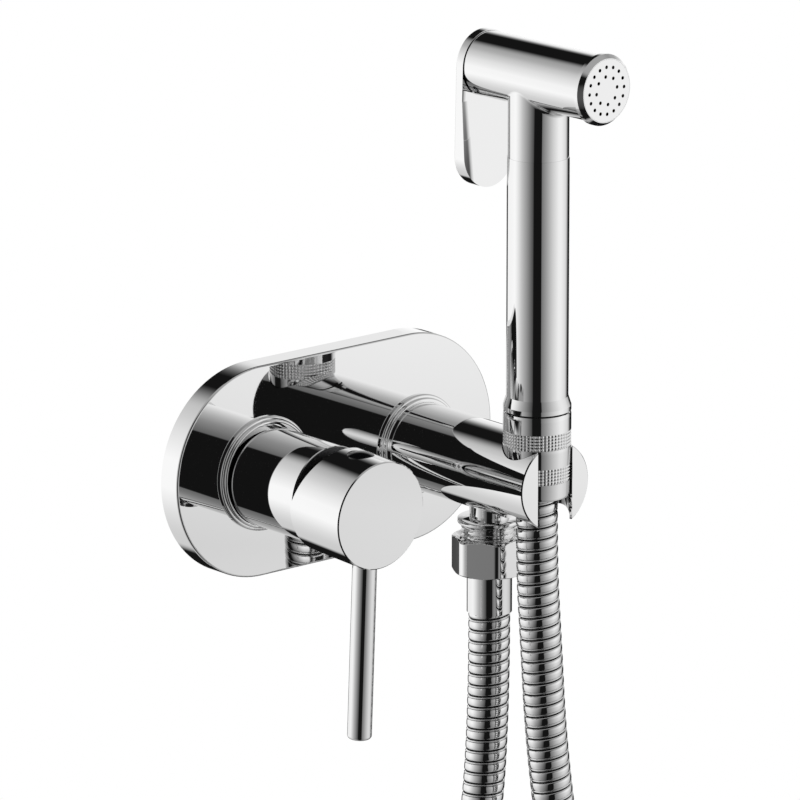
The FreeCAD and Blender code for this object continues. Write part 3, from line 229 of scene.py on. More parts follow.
def polished_chrome(colour, name="polished_chrome_on_brass", cut_end=None):
    """Bright chromium plate on polished brass: a near-perfect mirror, faintly wavy from the
    buffing wheel, with a film of smears that dulls it in patches. At the depth cut_end the piece
    has an end face that is dull from the lathe and painted dark grey as the shade in the slit."""
    material, tree = new_material(name)
    place = add_node(tree, "ShaderNodeTexCoord").outputs["Object"]
    smears = add_node(tree, "ShaderNodeTexNoise", {
        "Vector": place, "Scale": pattern_scale(22.2), "Detail": 4.0, "Roughness": 0.6})
    wave = add_node(tree, "ShaderNodeTexNoise", {
        "Vector": place, "Scale": pattern_scale(8.33), "Detail": 1.0, "Roughness": 0.4})
    bump = add_node(tree, "ShaderNodeBump", {
        "Height": wave.outputs["Fac"], "Strength": 0.015, "Distance": 0.2 * MM})
    tint = (*colour, 1.0)
    rough = add_node(tree, "ShaderNodeMapRange", {
        "Value": smears.outputs["Fac"], "From Min": 0.35, "From Max": 0.7,
        "To Min": 0.008, "To Max": 0.028}).outputs["Result"]
    # The end face is painted dark grey as painted shade in the slit, and made rougher
    if cut_end is not None:
        depth = add_node(tree, "ShaderNodeSeparateXYZ", {"Vector": place}).outputs["Y"]
        end_shade = add_node(tree, "ShaderNodeMapRange", {
            "Value": depth, "From Min": cut_end + 0.1 * MM, "From Max": cut_end + 0.2 * MM,
            "To Min": 1.0, "To Max": 0.0}).outputs["Result"]
        tint = add_node(tree, "ShaderNodeMix", {0: end_shade, 6: tint, 7: (*srgb("#5A5A5B"), 1.0)},
                        data_type="RGBA").outputs[2]
        rough = add_node(tree, "ShaderNodeMath", {0: end_shade, 1: 0.4, 2: rough},
                         operation="MULTIPLY_ADD").outputs[0]
    shader = add_node(tree, "ShaderNodeBsdfPrincipled", {
        "Base Color": tint, "Metallic": 1.0, "Roughness": rough, "Normal": bump.outputs["Normal"]})
    add_node(tree, "ShaderNodeOutputMaterial", {"Surface": shader.outputs[0]})
    return material


def wound_chrome(colour):
    """Chromium plate on a rolled strip: as bright as the castings, with fine rolling lines."""
    material, tree = new_material("chromed_rolled_strip")
    place = add_node(tree, "ShaderNodeTexCoord").outputs["Object"]
    lines = add_node(tree, "ShaderNodeTexNoise", {
        "Vector": place, "Scale": pattern_scale(3.85), "Detail": 3.0, "Roughness": 0.6})
    bump = add_node(tree, "ShaderNodeBump", {
        "Height": lines.outputs["Fac"], "Strength": 0.04, "Distance": 0.2 * MM})
    rough = add_node(tree, "ShaderNodeMapRange", {
        "Value": lines.outputs["Fac"], "From Min": 0.3, "From Max": 0.7,
        "To Min": 0.03, "To Max": 0.08})
    shader = add_node(tree, "ShaderNodeBsdfPrincipled", {
        "Base Color": (*colour, 1.0), "Metallic": 1.0, "Roughness": rough.outputs["Result"],
        "Normal": bump.outputs["Normal"]})
    add_node(tree, "ShaderNodeOutputMaterial", {"Surface": shader.outputs[0]})
    return material


def grained(name, dark, light, roughness, grain_mm, depth_mm, metallic=0.0, ior=None):
    """A surface whose colour and relief vary with one grain of a real size."""
    material, tree = new_material(name)
    place = add_node(tree, "ShaderNodeTexCoord").outputs["Object"]
    grain = add_node(tree, "ShaderNodeTexNoise", {
        "Vector": place, "Scale": pattern_scale(grain_mm), "Detail": 5.0, "Roughness": 0.55})
    tint = add_node(tree, "ShaderNodeMix", {
        0: grain.outputs["Fac"], 6: (*srgb(dark), 1.0), 7: (*srgb(light), 1.0)},
        data_type="RGBA")
    bump = add_node(tree, "ShaderNodeBump", {
        "Height": grain.outputs["Fac"], "Strength": 0.5, "Distance": depth_mm * MM})
    rough = add_node(tree, "ShaderNodeMapRange", {
        "Value": grain.outputs["Fac"], "From Min": 0.3, "From Max": 0.7,
        "To Min": roughness * 0.8, "To Max": min(1.0, roughness * 1.2)})
    shader = add_node(tree, "ShaderNodeBsdfPrincipled", {
        "Base Color": tint.outputs[2], "Metallic": metallic, "Roughness": rough.outputs["Result"],
        "Normal": bump.outputs["Normal"]})
    if ior is not None:
        shader.inputs["IOR"].default_value = ior
    add_node(tree, "ShaderNodeOutputMaterial", {"Surface": shader.outputs[0]})
    return material


# Mesh helpers

def mesh_object(name, verts, faces, material):
    mesh = bpy.data.meshes.new(name)
    mesh.from_pydata([tuple(v) for v in verts], [], faces)
    mesh.polygons.foreach_set("use_smooth", [True] * len(faces))
    mesh.materials.append(material)
    mesh.update()
    piece = bpy.data.objects.new(name, mesh)
    bpy.context.scene.collection.objects.link(piece)
    return piece


def paint(piece, chosen, material):
    """Gives the chosen faces, picked by their number, a second material."""
    piece.data.materials.append(material)
    for face in piece.data.polygons:
        if chosen(face.index):
            face.material_index = 1


def tidy_mesh(piece, sharp_degrees):
    """Merges doubled points, drops empty faces, turns faces outward and keeps hard edges hard."""
    work = bmesh.new()
    work.from_mesh(piece.data)
    bmesh.ops.remove_doubles(work, verts=work.verts, dist=1e-6)
    bmesh.ops.dissolve_degenerate(work, edges=work.edges, dist=1e-7)
    bmesh.ops.recalc_face_normals(work, faces=work.faces)
    for edge in work.edges:
        sharp = edge.is_manifold and edge.calc_face_angle(0) > math.radians(sharp_degrees)
        edge.smooth = not sharp
    work.to_mesh(piece.data)
    work.free()
    piece.data.update()


def turned(rings, x, y):
    """Points and faces of a closed turned piece; each ring is a list of (radius, z) per angle."""
    count = len(rings[0])
    verts = []
    faces = []
    for ring in rings:
        for k, (radius, z) in enumerate(ring):
            angle = 2 * math.pi * k / count
            verts.append((x + radius * math.cos(angle), y + radius * math.sin(angle), z))
    total = len(rings)
    for i in range(total):
        for k in range(count):
            a = i * count + k
            b = i * count + (k + 1) % count
            c = ((i + 1) % total) * count + (k + 1) % count
            d = ((i + 1) % total) * count + k
            faces.append((a, b, c, d))
    return verts, faces


# The hose

def route_line():
    """The hose's centre line: the points of one smooth spline through the route."""
    middle = (OUTLET_Y + SOCKET_Y) / 2
    across = Vector((math.cos(HOSE_PLANE), math.sin(HOSE_PLANE), 0))
    aside = Vector((-across.y, across.x, 0))
    points = [Vector((ARM_X, middle, z)) + across * a + aside * b for a, b, z in HOSE_ROUTE]
    for index, y in ((0, OUTLET_Y), (1, OUTLET_Y), (-1, SOCKET_Y), (-2, SOCKET_Y)):
        points[index].x = ARM_X
        points[index].y = y
    curve = bpy.data.curves.new("hose_route", "CURVE")
    curve.dimensions = "3D"
    curve.resolution_u = 48
    spline = curve.splines.new("NURBS")
    spline.points.add(len(points) - 1)
    for point, place in zip(spline.points, points):
        point.co = (*place, 1.0)
    spline.order_u = 3
    spline.use_endpoint_u = True
    holder = bpy.data.objects.new("hose_route", curve)
    mesh = bpy.data.meshes.new_from_object(holder)
    line = [v.co.copy() for v in mesh.vertices]
    bpy.data.objects.remove(holder)
    bpy.data.curves.remove(curve)
    bpy.data.meshes.remove(mesh)
    return line


def frames_along(line):
    """Distance, place and a steady cross frame at every point of a line."""
    tangents = []
    for i in range(len(line)):
        ahead = line[min(i + 1, len(line) - 1)]
        behind = line[max(i - 1, 0)]
        tangents.append((ahead - behind).normalized())
    side = Vector((1, 0, 0))
    side = (side - tangents[0] * side.dot(tangents[0])).normalized()
    frames = []
    distance = 0.0
    for i, (point, tangent) in enumerate(zip(line, tangents)):
        side = (side - tangent * side.dot(tangent)).normalized()
        if i:
            distance += (point - line[i - 1]).length
        frames.append((distance, point, side.copy(), tangent.cross(side)))
    return frames


class Walker:
    """Finds the place and cross frame at any distance along the line."""

    def __init__(self, frames):
        self.frames = frames
        self.distances = [distance for distance, *_ in frames]
        self.length = self.distances[-1]

    def at(self, distance):
        found = bisect.bisect_right(self.distances, distance) - 1
        index = min(max(found, 0), len(self.frames) - 2)
        a = self.frames[index]
        b = self.frames[index + 1]
        share = (distance - a[0]) / max(b[0] - a[0], 1e-12)
        place = a[1].lerp(b[1], share)
        return place, a[2].lerp(b[2], share).normalized(), a[3].lerp(b[3], share).normalized()


def wound_tube(walker, profile, pitch, around, first, last, end_radius):
    """Points and faces of the strip between two counts of its turns, right-handed as a screw."""
    verts = []
    faces = []
    marks = profile + [(1.0, profile[0][1])]
    columns = int(round((last - first) * around)) + 1
    for column in range(columns):
        turn = first + column / around
        angle = 2 * math.pi * turn
        for share, radius in marks:
            distance = (turn + share - 1) * pitch
            if distance <= 0 or distance >= walker.length:
                distance = min(max(distance, 0.0), walker.length)
                radius = end_radius
            place, side, up = walker.at(distance)
            verts.append(place + side * (radius * math.cos(angle))
                         + up * (radius * math.sin(angle)))
    row = len(marks)
    for column in range(columns - 1):
        for j in range(row - 1):
            a = column * row + j
            faces.append((a, a + row, a + row + 1, a + 1))
    return verts, faces


# What a user would change

class MixerHose(bpy.types.PropertyGroup):
    diameter: FloatProperty(
        name="Diameter", description="Outside diameter of the wound hose",
        default=0.015, min=0.012, max=0.018, unit="LENGTH")
    pitch: FloatProperty(
        name="Strip pitch", description="Distance from one turn of the strip to the next",
        default=0.0041, min=0.003, max=0.008, unit="LENGTH")
    groove: FloatProperty(
        name="Groove depth", description="Depth of the groove between two turns",
        default=0.0011, min=0.0003, max=0.0015, unit="LENGTH")
    around: IntProperty(
        name="Columns", description="Columns of faces round the hose", default=32, min=16, max=96)


class MixerNut(bpy.types.PropertyGroup):
    dot_pitch: FloatProperty(
        name="Knurl pitch", description="Distance between two dots of a row",
        default=0.00135, min=0.0008, max=0.003, unit="LENGTH")
    dot_rows: IntProperty(
        name="Knurl rows", description="Rows of dots in each of the two bands",
        default=5, min=2, max=9)
    dot_depth: FloatProperty(
        name="Knurl depth", description="How far the dots stand out of their band",
        default=0.00045, min=0.0001, max=0.0008, unit="LENGTH")
    flats: FloatProperty(
        name="Flats", description="Width of the hexagon nut over its flats",
        default=0.025, min=0.02, max=0.03, unit="LENGTH")
    corner: FloatProperty(
        name="Corner", description="Radius of the hexagon nut's upright corners",
        default=0.0039, min=0.0005, max=0.006, unit="LENGTH")
    turn: FloatProperty(
        name="Turn", description="Direction of one flat, about the upright axis",
        default=math.radians(34.0), subtype="ANGLE", unit="ROTATION")
    thread_pitch: FloatProperty(
        name="Thread pitch", description="Pitch of the half-inch pipe thread",
        default=0.001814, min=0.001, max=0.003, unit="LENGTH")
    thread_depth: FloatProperty(
        name="Thread depth", description="Depth of the half-inch pipe thread",
        default=0.00116, min=0.0005, max=0.0015, unit="LENGTH")


class MixerFinish(bpy.types.PropertyGroup):
    chrome: FloatVectorProperty(
        name="Chrome", description="Tint of the plated pieces", subtype="COLOR", size=3,
        default=srgb("#EFEFEF"), min=0.0, max=1.0)
    strip: FloatVectorProperty(
        name="Hose strip", description="Tint of the hose's plated strip", subtype="COLOR", size=3,
        default=srgb("#ECECEC"), min=0.0, max=1.0)


class MixerStage(bpy.types.PropertyGroup):
    azimuth: FloatProperty(
        name="Azimuth", description="Direction of the camera round the object",
        default=math.radians(-40.451), subtype="ANGLE", unit="ROTATION")
    elevation: FloatProperty(
        name="Elevation", description="Height angle of the camera",
        default=math.radians(15.067), subtype="ANGLE", unit="ROTATION")
    distance: FloatProperty(
        name="Distance", description="From the camera to the point it looks at",
        default=2.7967, unit="LENGTH")
    focal: FloatProperty(
        name="Focal length", description="Focal length for a 36 mm sensor",
        default=357.55, unit="CAMERA")
    daylight: FloatProperty(
        name="Daylight", description="Strength of the even light from all sides",
        default=0.55, min=0.0, max=2.0)


# The pieces

class MIXER_OT_hose(bpy.types.Operator):
    """Adds the strip-wound hose in three runs: at the outlet, the loop, and at the handset"""
    bl_idname = "mixer.add_hose"
    bl_label = "Hose"

    def execute(self, context):
        size = context.scene.mixer_hose
        plated = wound_chrome(context.scene.mixer_finish.strip)
        # The strip's rolled-in edge down in the groove: painted near black as the shade that falls
        # there
        groove_shade = grained("groove_painted_shade", "#121213", "#1F1F21", 0.4, 0.3, 0.005, ior=1.45)
        line = route_line()
        walker = Walker(frames_along(line))
        radius = size.diameter / 2
        end_radius = radius - 0.3 * size.groove
        profile = [(share, radius - depth * size.groove) for share, depth in STRIP_MARKS]
        turns = walker.length / size.pitch + 1
        cuts = [0.0, *(round(turns * share) for share in LOOP_SHARES), math.ceil(turns) + 1]
        marks = [0.0, cuts[1] * size.pitch, cuts[2] * size.pitch, walker.length]
        names = ("hose_outlet_run", "hose_loop", "hose_handset_run")
        runs = []
        for name, first, last in zip(names, cuts, cuts[1:]):
            verts, faces = wound_tube(walker, profile, size.pitch, size.around, first, last,
                                      end_radius)
            run = mesh_object(name, verts, faces, plated)
            # Paints the shade into the faces down in the groove and the fine line
            paint(run, lambda index: index % len(profile) in PAINTED_SHADE_STEPS, groove_shade)
            tidy_mesh(run, 60.0)
            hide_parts("shower_hose")
            runs.append(run)
        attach(runs[0], "root")
        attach(runs[2], "hose_end")
        left = walker.at(marks[1])[0]
        right = walker.at(marks[2])[0]
        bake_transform(runs[1])
        for run, begin, end in zip(runs, marks, marks[1:]):
            inner = [tuple(p) for d, p in zip(walker.distances, line) if begin < d < end]
            path = [tuple(walker.at(begin)[0]), *inner, tuple(walker.at(end)[0])]
        return {"FINISHED"}


class MIXER_OT_knurled_nut(bpy.types.Operator):
    """Adds the conical nut with its two knurled bands"""
    bl_idname = "mixer.add_knurled_nut"
    bl_label = "Knurled conical nut"

    def execute(self, context):
        size = context.scene.mixer_nut
        plated = nodes["cone_nut"].data.materials[0]
        low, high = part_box("cone_nut")
        collar = (high.x - low.x) / 2
        top = high.z
        bottom = low.z
        gap_low = top - WASHER_GAP
        washer_edge = collar - WASHER_SET_BACK
        ring_step = 0.0008
        band_gap = 0.0001
        rings_per_row = 6
        per_dot = 6
        around = per_dot * int(round(2 * math.pi * collar / size.dot_pitch))

        def outline(z):
            share = max(0.0, (CONE_SHOULDER_Z - z) / (CONE_SHOULDER_Z - bottom))
            return collar - (collar - CONE_FOOT) * share

        heights = {CONE_SHOULDER_Z}
        z = bottom + CONE_EDGE
        while z < gap_low - CONE_EDGE:
            heights.add(round(z, 7))
            z += ring_step
        for a, b in KNURL_BANDS_Z:
            heights = {z for z in heights if z < a - band_gap or z > b + band_gap}
            steps = size.dot_rows * rings_per_row
            heights |= {a + (b - a) * i / steps for i in range(steps + 1)}
        columns = [0.5 + 0.5 * math.cos(2 * math.pi * k / per_dot) for k in range(per_dot)]
        rings = [[(CONE_HOSE_WAY, bottom)] * around, [(CONE_FOOT - CONE_EDGE, bottom)] * around]
        for z in sorted(heights):
            dent = [0.0] * per_dot
            for a, b in KNURL_BANDS_Z:
                if a < z < b:
                    row = 0.5 - 0.5 * math.cos(2 * math.pi * size.dot_rows * (z - a) / (b - a))
                    dent = [size.dot_depth * (1 - row * column) for column in columns]
            rings.append([(outline(z) - dent[k % per_dot], z) for k in range(around)])
        painted_gap_row = len(rings) + 1
        rings += [[(collar - CONE_EDGE, gap_low)] * around, [(washer_edge, gap_low)] * around,
                  [(washer_edge, top)] * around, [(CONE_BORE, top)] * around,
                  [(CONE_BORE, CONE_FLOOR_Z)] * around, [(CONE_HOSE_WAY, CONE_FLOOR_Z)] * around]
        verts, faces = turned(rings, ARM_X, SOCKET_Y)
        nut = mesh_object("knurled_nut", verts, faces, plated)
        # The gap below the handset's ring gets a black rubber colour: the washer's edge, and
        # painted shade in the gap
        washer_and_gap_shade = grained("washer_edge_and_painted_gap_shade", "#0E0E0E", "#202020", 0.62, 0.25, 0.012, ior=1.5)
        paint(nut, lambda index: index // around == painted_gap_row, washer_and_gap_shade)
        tidy_mesh(nut, 50.0)
        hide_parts("cone_nut")
        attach(nut, "handset")
        return {"FINISHED"}


class MIXER_OT_hexagon_nut(bpy.types.Operator):
    """Adds the hose's hexagon nut with its rounded corners and bevelled ends"""
    bl_idname = "mixer.add_hexagon_nut"
    bl_label = "Hexagon nut"

    def execute(self, context):
        size = context.scene.mixer_nut
        plated = nodes["hose_nut"].data.materials[0]
        low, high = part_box("hose_nut")
        flat = size.flats / 2
        bend = size.corner
        half_side = math.radians(30)
        middle = (flat - bend) / math.cos(half_side)
        floor_top = low.z + NUT_FLOOR
        bevel_slope = 1 / math.tan(NUT_BEVEL)
        around = 360

        def hexagon(k):
            """The outline's radius in one direction: flats joined by round corners."""
            off = (360 * k / around - size.turn * 180 / math.pi + 30) % 60 - 30
            aside = math.radians(30 - abs(off))
            if flat * math.tan(math.radians(abs(off))) < middle * math.sin(half_side):
                return flat / math.cos(math.radians(off))
            across = middle * math.sin(aside)
            return middle * math.cos(aside) + math.sqrt(bend ** 2 - across ** 2)

        outline = [hexagon(k) for k in range(around)]
        levels = [low.z + (high.z - low.z) * share for share in (0.0, 0.5, 1.0)]
        for i in range(1, NUT_BEVEL_RINGS + 1):
            levels += [low.z + NUT_BEVEL_RING * i, high.z - NUT_BEVEL_RING * i]
        rings = [[(NUT_HOSE_WAY, low.z)] * around]
        for z in sorted(levels):
            reach = flat - NUT_BEVEL_INSIDE + bevel_slope * min(z - low.z, high.z - z)
            rings.append([(min(radius, reach), z) for radius in outline])
        rings += [[(NUT_BORE + NUT_LEAD_IN, high.z)] * around,
                  [(NUT_BORE, high.z - NUT_LEAD_IN)] * around,
                  [(NUT_BORE, floor_top)] * around, [(NUT_HOSE_WAY, floor_top)] * around]
        verts, faces = turned(rings, ARM_X, OUTLET_Y)
        nut = mesh_object("hexagon_nut", verts, faces, plated)
        tidy_mesh(nut, 20.0)
        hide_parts("hose_nut")
        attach(nut, "root")
        return {"FINISHED"}


class MIXER_OT_threaded_outlet(bpy.types.Operator):
    """Adds the outlet under the arm with its half-inch thread"""
    bl_idname = "mixer.add_threaded_outlet"
    bl_label = "Threaded outlet"

    def execute(self, context):
        size = context.scene.mixer_nut
        plated = nodes["outlet_nipple"].data.materials[0]
        low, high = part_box("outlet_nipple")
        rim = (high.x - low.x) / 2
        rim_edge = rim - OUTLET_EDGE
        root = THREAD_CREST - size.thread_depth
        thread_top = RIM_LOW_Z - 0.0003
        pocket_top = low.z + VALVE_POCKET_DEPTH
        around = 96
        rings = [[(OUTLET_WATERWAY, high.z)] * around, [(OUTLET_NECK, high.z)] * around,
                 [(OUTLET_NECK, RIM_TOP_Z)] * around, [(rim_edge, RIM_TOP_Z)] * around,
                 [(rim, RIM_TOP_Z - OUTLET_EDGE)] * around,
                 [(rim, RIM_LOW_Z + OUTLET_EDGE)] * around, [(rim_edge, RIM_LOW_Z)] * around,
                 [(root, RIM_LOW_Z - OUTLET_EDGE)] * around]
        step = size.thread_pitch / 12
        z = RIM_LOW_Z - 0.0004
        while z > low.z + 0.0003:
            fade = min(1.0, (thread_top - z) / THREAD_FADE_TOP, (z - low.z) / THREAD_FADE_LOW)
            ring = []
            for k in range(around):
                share = (z / size.thread_pitch - k / around) % 1.0
                flank = max(0.0, min(1.0, abs(share - 0.5) * THREAD_FLANK - THREAD_FLAT))
                ring.append((THREAD_CREST - size.thread_depth * (1 - flank * fade), z))
            rings.append(ring)
            z -= step
        rings += [[(root, low.z)] * around, [(VALVE_POCKET, low.z)] * around,
                  [(VALVE_POCKET, pocket_top)] * around, [(OUTLET_WATERWAY, pocket_top)] * around]
        verts, faces = turned(rings, ARM_X, OUTLET_Y)
        outlet = mesh_object("threaded_outlet", verts, faces, plated)
        tidy_mesh(outlet, 50.0)
        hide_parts("outlet_nipple")
        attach(outlet, "root")
        return {"FINISHED"}


class MIXER_OT_finishes(bpy.types.Operator):
    """Gives every CAD node the finish of its real material"""
    bl_idname = "mixer.apply_finishes"
    bl_label = "Finishes"

    def execute(self, context):
        tint = context.scene.mixer_finish
        finishes = {
            "chrome": polished_chrome(tint.chrome),
            "hose_steel": wound_chrome(tint.strip),
            # Sand-cast dezincification-resistant brass: dull yellow with a pebbled skin
            "brass": grained("cast_and_turned_brass", "#8F6F38", "#C09A55", 0.34, 0.9, 0.03,
                             metallic=1.0),
            # Bright drawn stainless steel: grey, with fine drawing marks
            "steel": grained("drawn_stainless_steel", "#9C9EA0", "#C4C6C8", 0.24, 0.4, 0.008,
                             metallic=1.0),
            # Glass-filled acetal: near black, slightly mottled, satin from the mould
            "dark_plastic": grained("moulded_black_acetal", "#151516", "#26262A", 0.42, 0.35, 0.01,
                                    ior=1.48),
            # Natural acetal: ivory white, satin
            "pale_plastic": grained("moulded_natural_acetal", "#D2CEC0", "#E6E3D8", 0.38, 0.4, 0.01,
                                    ior=1.48),
            # Lapped alumina: off-white with a flat, almost polished face
            "ceramic": grained("lapped_alumina", "#DEDAD0", "#EEEBE4", 0.16, 0.15, 0.003, ior=1.76),
            # Peroxide-cured EPDM: soft black with a bloom
            "rubber": grained("moulded_epdm_rubber", "#0E0E0E", "#202020", 0.62, 0.25, 0.012,
                              ior=1.5),
            # Closed-cell polyethylene foam: charcoal with open cut cells
            "foam": grained("closed_cell_foam", "#222224", "#3C3C3E", 0.9, 0.5, 0.15, ior=1.45),
        }
        own = {
            # Polished black acrylic: deep gloss with a trace of moulding flow
            "screw_plug": grained("polished_black_acrylic", "#060607", "#0C0C0E", 0.05, 3.0, 0.004,
                                  ior=1.49),
            # The sleeve's end lies inside the slit behind the handle; it is painted dark grey there
            # as painted shade
            "mixer_sleeve": polished_chrome(tint.chrome, "polished_chrome_with_painted_end_shade",
                                            cut_end=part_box("mixer_sleeve")[0].y),
        }
        for row in frame["record"]["subparts"]:
            mesh = nodes[row["node"]].data
            finish = own.get(row["node"], finishes[row["material_slot"]])
            if not mesh.materials:
                mesh.materials.append(finish)
            for index in range(len(mesh.materials)):
                mesh.materials[index] = finish
        return {"FINISHED"}


# The studio

def one_sided(tree, shader):
    """The shader from the front of a card, and nothing at all from behind it."""
    back = add_node(tree, "ShaderNodeNewGeometry").outputs["Backfacing"]
    clear = add_node(tree, "ShaderNodeBsdfTransparent", {"Color": (1, 1, 1, 1)})
    sides = add_node(tree, "ShaderNodeMixShader", {
        0: back, 1: shader.outputs[0], 2: clear.outputs[0]})
    add_node(tree, "ShaderNodeOutputMaterial", {"Surface": sides.outputs[0]})


def card(name, corners, material):
    mesh = bpy.data.meshes.new(name)
    mesh.from_pydata(corners, [], [tuple(range(len(corners)))])
    mesh.materials.append(material)
    piece = bpy.data.objects.new(name, mesh)
    bpy.context.scene.collection.objects.link(piece)
    return piece


def through_marks(tree, place, marks):
    """A value that follows straight lines through marks of (place, value)."""
    total = marks[0][1]
    for (begin, low), (end, high) in zip(marks, marks[1:]):
        part = add_node(tree, "ShaderNodeMapRange", {
            "Value": place, "From Min": begin, "From Max": end,
            "To Min": 0.0, "To Max": high - low})
        total = add_node(tree, "ShaderNodeMath", {0: total, 1: part.outputs["Result"]},
                         operation="ADD").outputs[0]
    return total


def patch_darkness(tree, places, edges):
    """How dark a patch is: the product of its soft edges."""
    dark = 1.0
    for direction, begin, end, before, after in edges:
        edge = add_node(tree, "ShaderNodeMapRange", {
            "Value": places[direction], "From Min": begin, "From Max": end,
            "To Min": before, "To Max": after}, interpolation_type="SMOOTHSTEP")
        dark = add_node(tree, "ShaderNodeMath", {0: dark, 1: edge.outputs["Result"]},
                        operation="MULTIPLY").outputs[0]
    return dark


def darkened(tree, light, dark):
    """The light where the patch isn't: light times one less dark."""
    left = add_node(tree, "ShaderNodeMath", {0: 1.0, 1: dark}, operation="SUBTRACT")
    return add_node(tree, "ShaderNodeMath", {0: light, 1: left.outputs[0]},
                    operation="MULTIPLY").outputs[0]


def tent_directions(tree):
    """Turn, rise and the leaning turn of a point on the tent, in degrees."""
    place = add_node(tree, "ShaderNodeTexCoord").outputs["Object"]
    parts = add_node(tree, "ShaderNodeSeparateXYZ", {"Vector": place})
    toward = add_node(tree, "ShaderNodeMath", {0: parts.outputs["Y"], 1: -1.0},
                      operation="MULTIPLY")
    turn = add_node(tree, "ShaderNodeMath", {0: parts.outputs["X"], 1: toward.outputs[0]},
                    operation="ARCTAN2")
    turn = add_node(tree, "ShaderNodeMath", {0: turn.outputs[0]}, operation="DEGREES").outputs[0]
    sine = add_node(tree, "ShaderNodeMath", {0: parts.outputs["Z"], 1: TENT_RADIUS},
                    operation="DIVIDE")
    rise = add_node(tree, "ShaderNodeMath", {0: sine.outputs[0]}, operation="ARCSINE")
    rise = add_node(tree, "ShaderNodeMath", {0: rise.outputs[0]}, operation="DEGREES").outputs[0]
    away = add_node(tree, "ShaderNodeMath", {0: rise}, operation="ABSOLUTE").outputs[0]
    lean = through_marks(tree, away, SLOT_LEAN)
    leaning = add_node(tree, "ShaderNodeMath", {0: turn, 1: lean}, operation="SUBTRACT")
    return {"turn": turn, "rise": rise, "leaning_turn": leaning.outputs[0]}


def studio_cloth():
    """The cloth of the tent. The banks at its sides fade toward the dark slot where the camera
    looks in, and toward the top and the ground. A pale ceiling hangs overhead. Behind the object
    the cloth is dark, above a white horizon and from just below eye level down."""
    material, tree = new_material("studio_cloth")
    places = tent_directions(tree)
    left = through_marks(tree, places["turn"], LEFT_BANK)
    right = through_marks(tree, places["turn"], RIGHT_BANK)
    lower = through_marks(tree, places["rise"], RIGHT_BY_RISE)
    right = add_node(tree, "ShaderNodeMath", {0: right, 1: lower},
                     operation="MULTIPLY").outputs[0]
    is_right = add_node(tree, "ShaderNodeMath", {0: places["turn"], 1: 0.0},
                        operation="GREATER_THAN").outputs[0]
    light = add_node(tree, "ShaderNodeMix", {0: is_right, 2: left, 3: right}).outputs[0]
    light = darkened(tree, light, patch_darkness(tree, places, CAMERA_SLOT))
    overhead = patch_darkness(tree, places, OVERHEAD)
    light = darkened(tree, light, overhead)
    light = add_node(tree, "ShaderNodeMath", {0: overhead, 1: OVERHEAD_LIGHT, 2: light},
                     operation="MULTIPLY_ADD").outputs[0]
    height = through_marks(tree, places["rise"], ALL_BY_RISE)
    light = add_node(tree, "ShaderNodeMath", {0: light, 1: height}, operation="MULTIPLY").outputs[0]
    for patch in REAR_PATCHES:
        light = darkened(tree, light, patch_darkness(tree, places, patch))
    light = add_node(tree, "ShaderNodeMath", {0: light, 1: DARKEST}, operation="MAXIMUM")
    cloth = add_node(tree, "ShaderNodeEmission", {
        "Color": (1, 1, 1, 1), "Strength": light.outputs[0]})
    add_node(tree, "ShaderNodeOutputMaterial", {"Surface": cloth.outputs[0]})
    return material


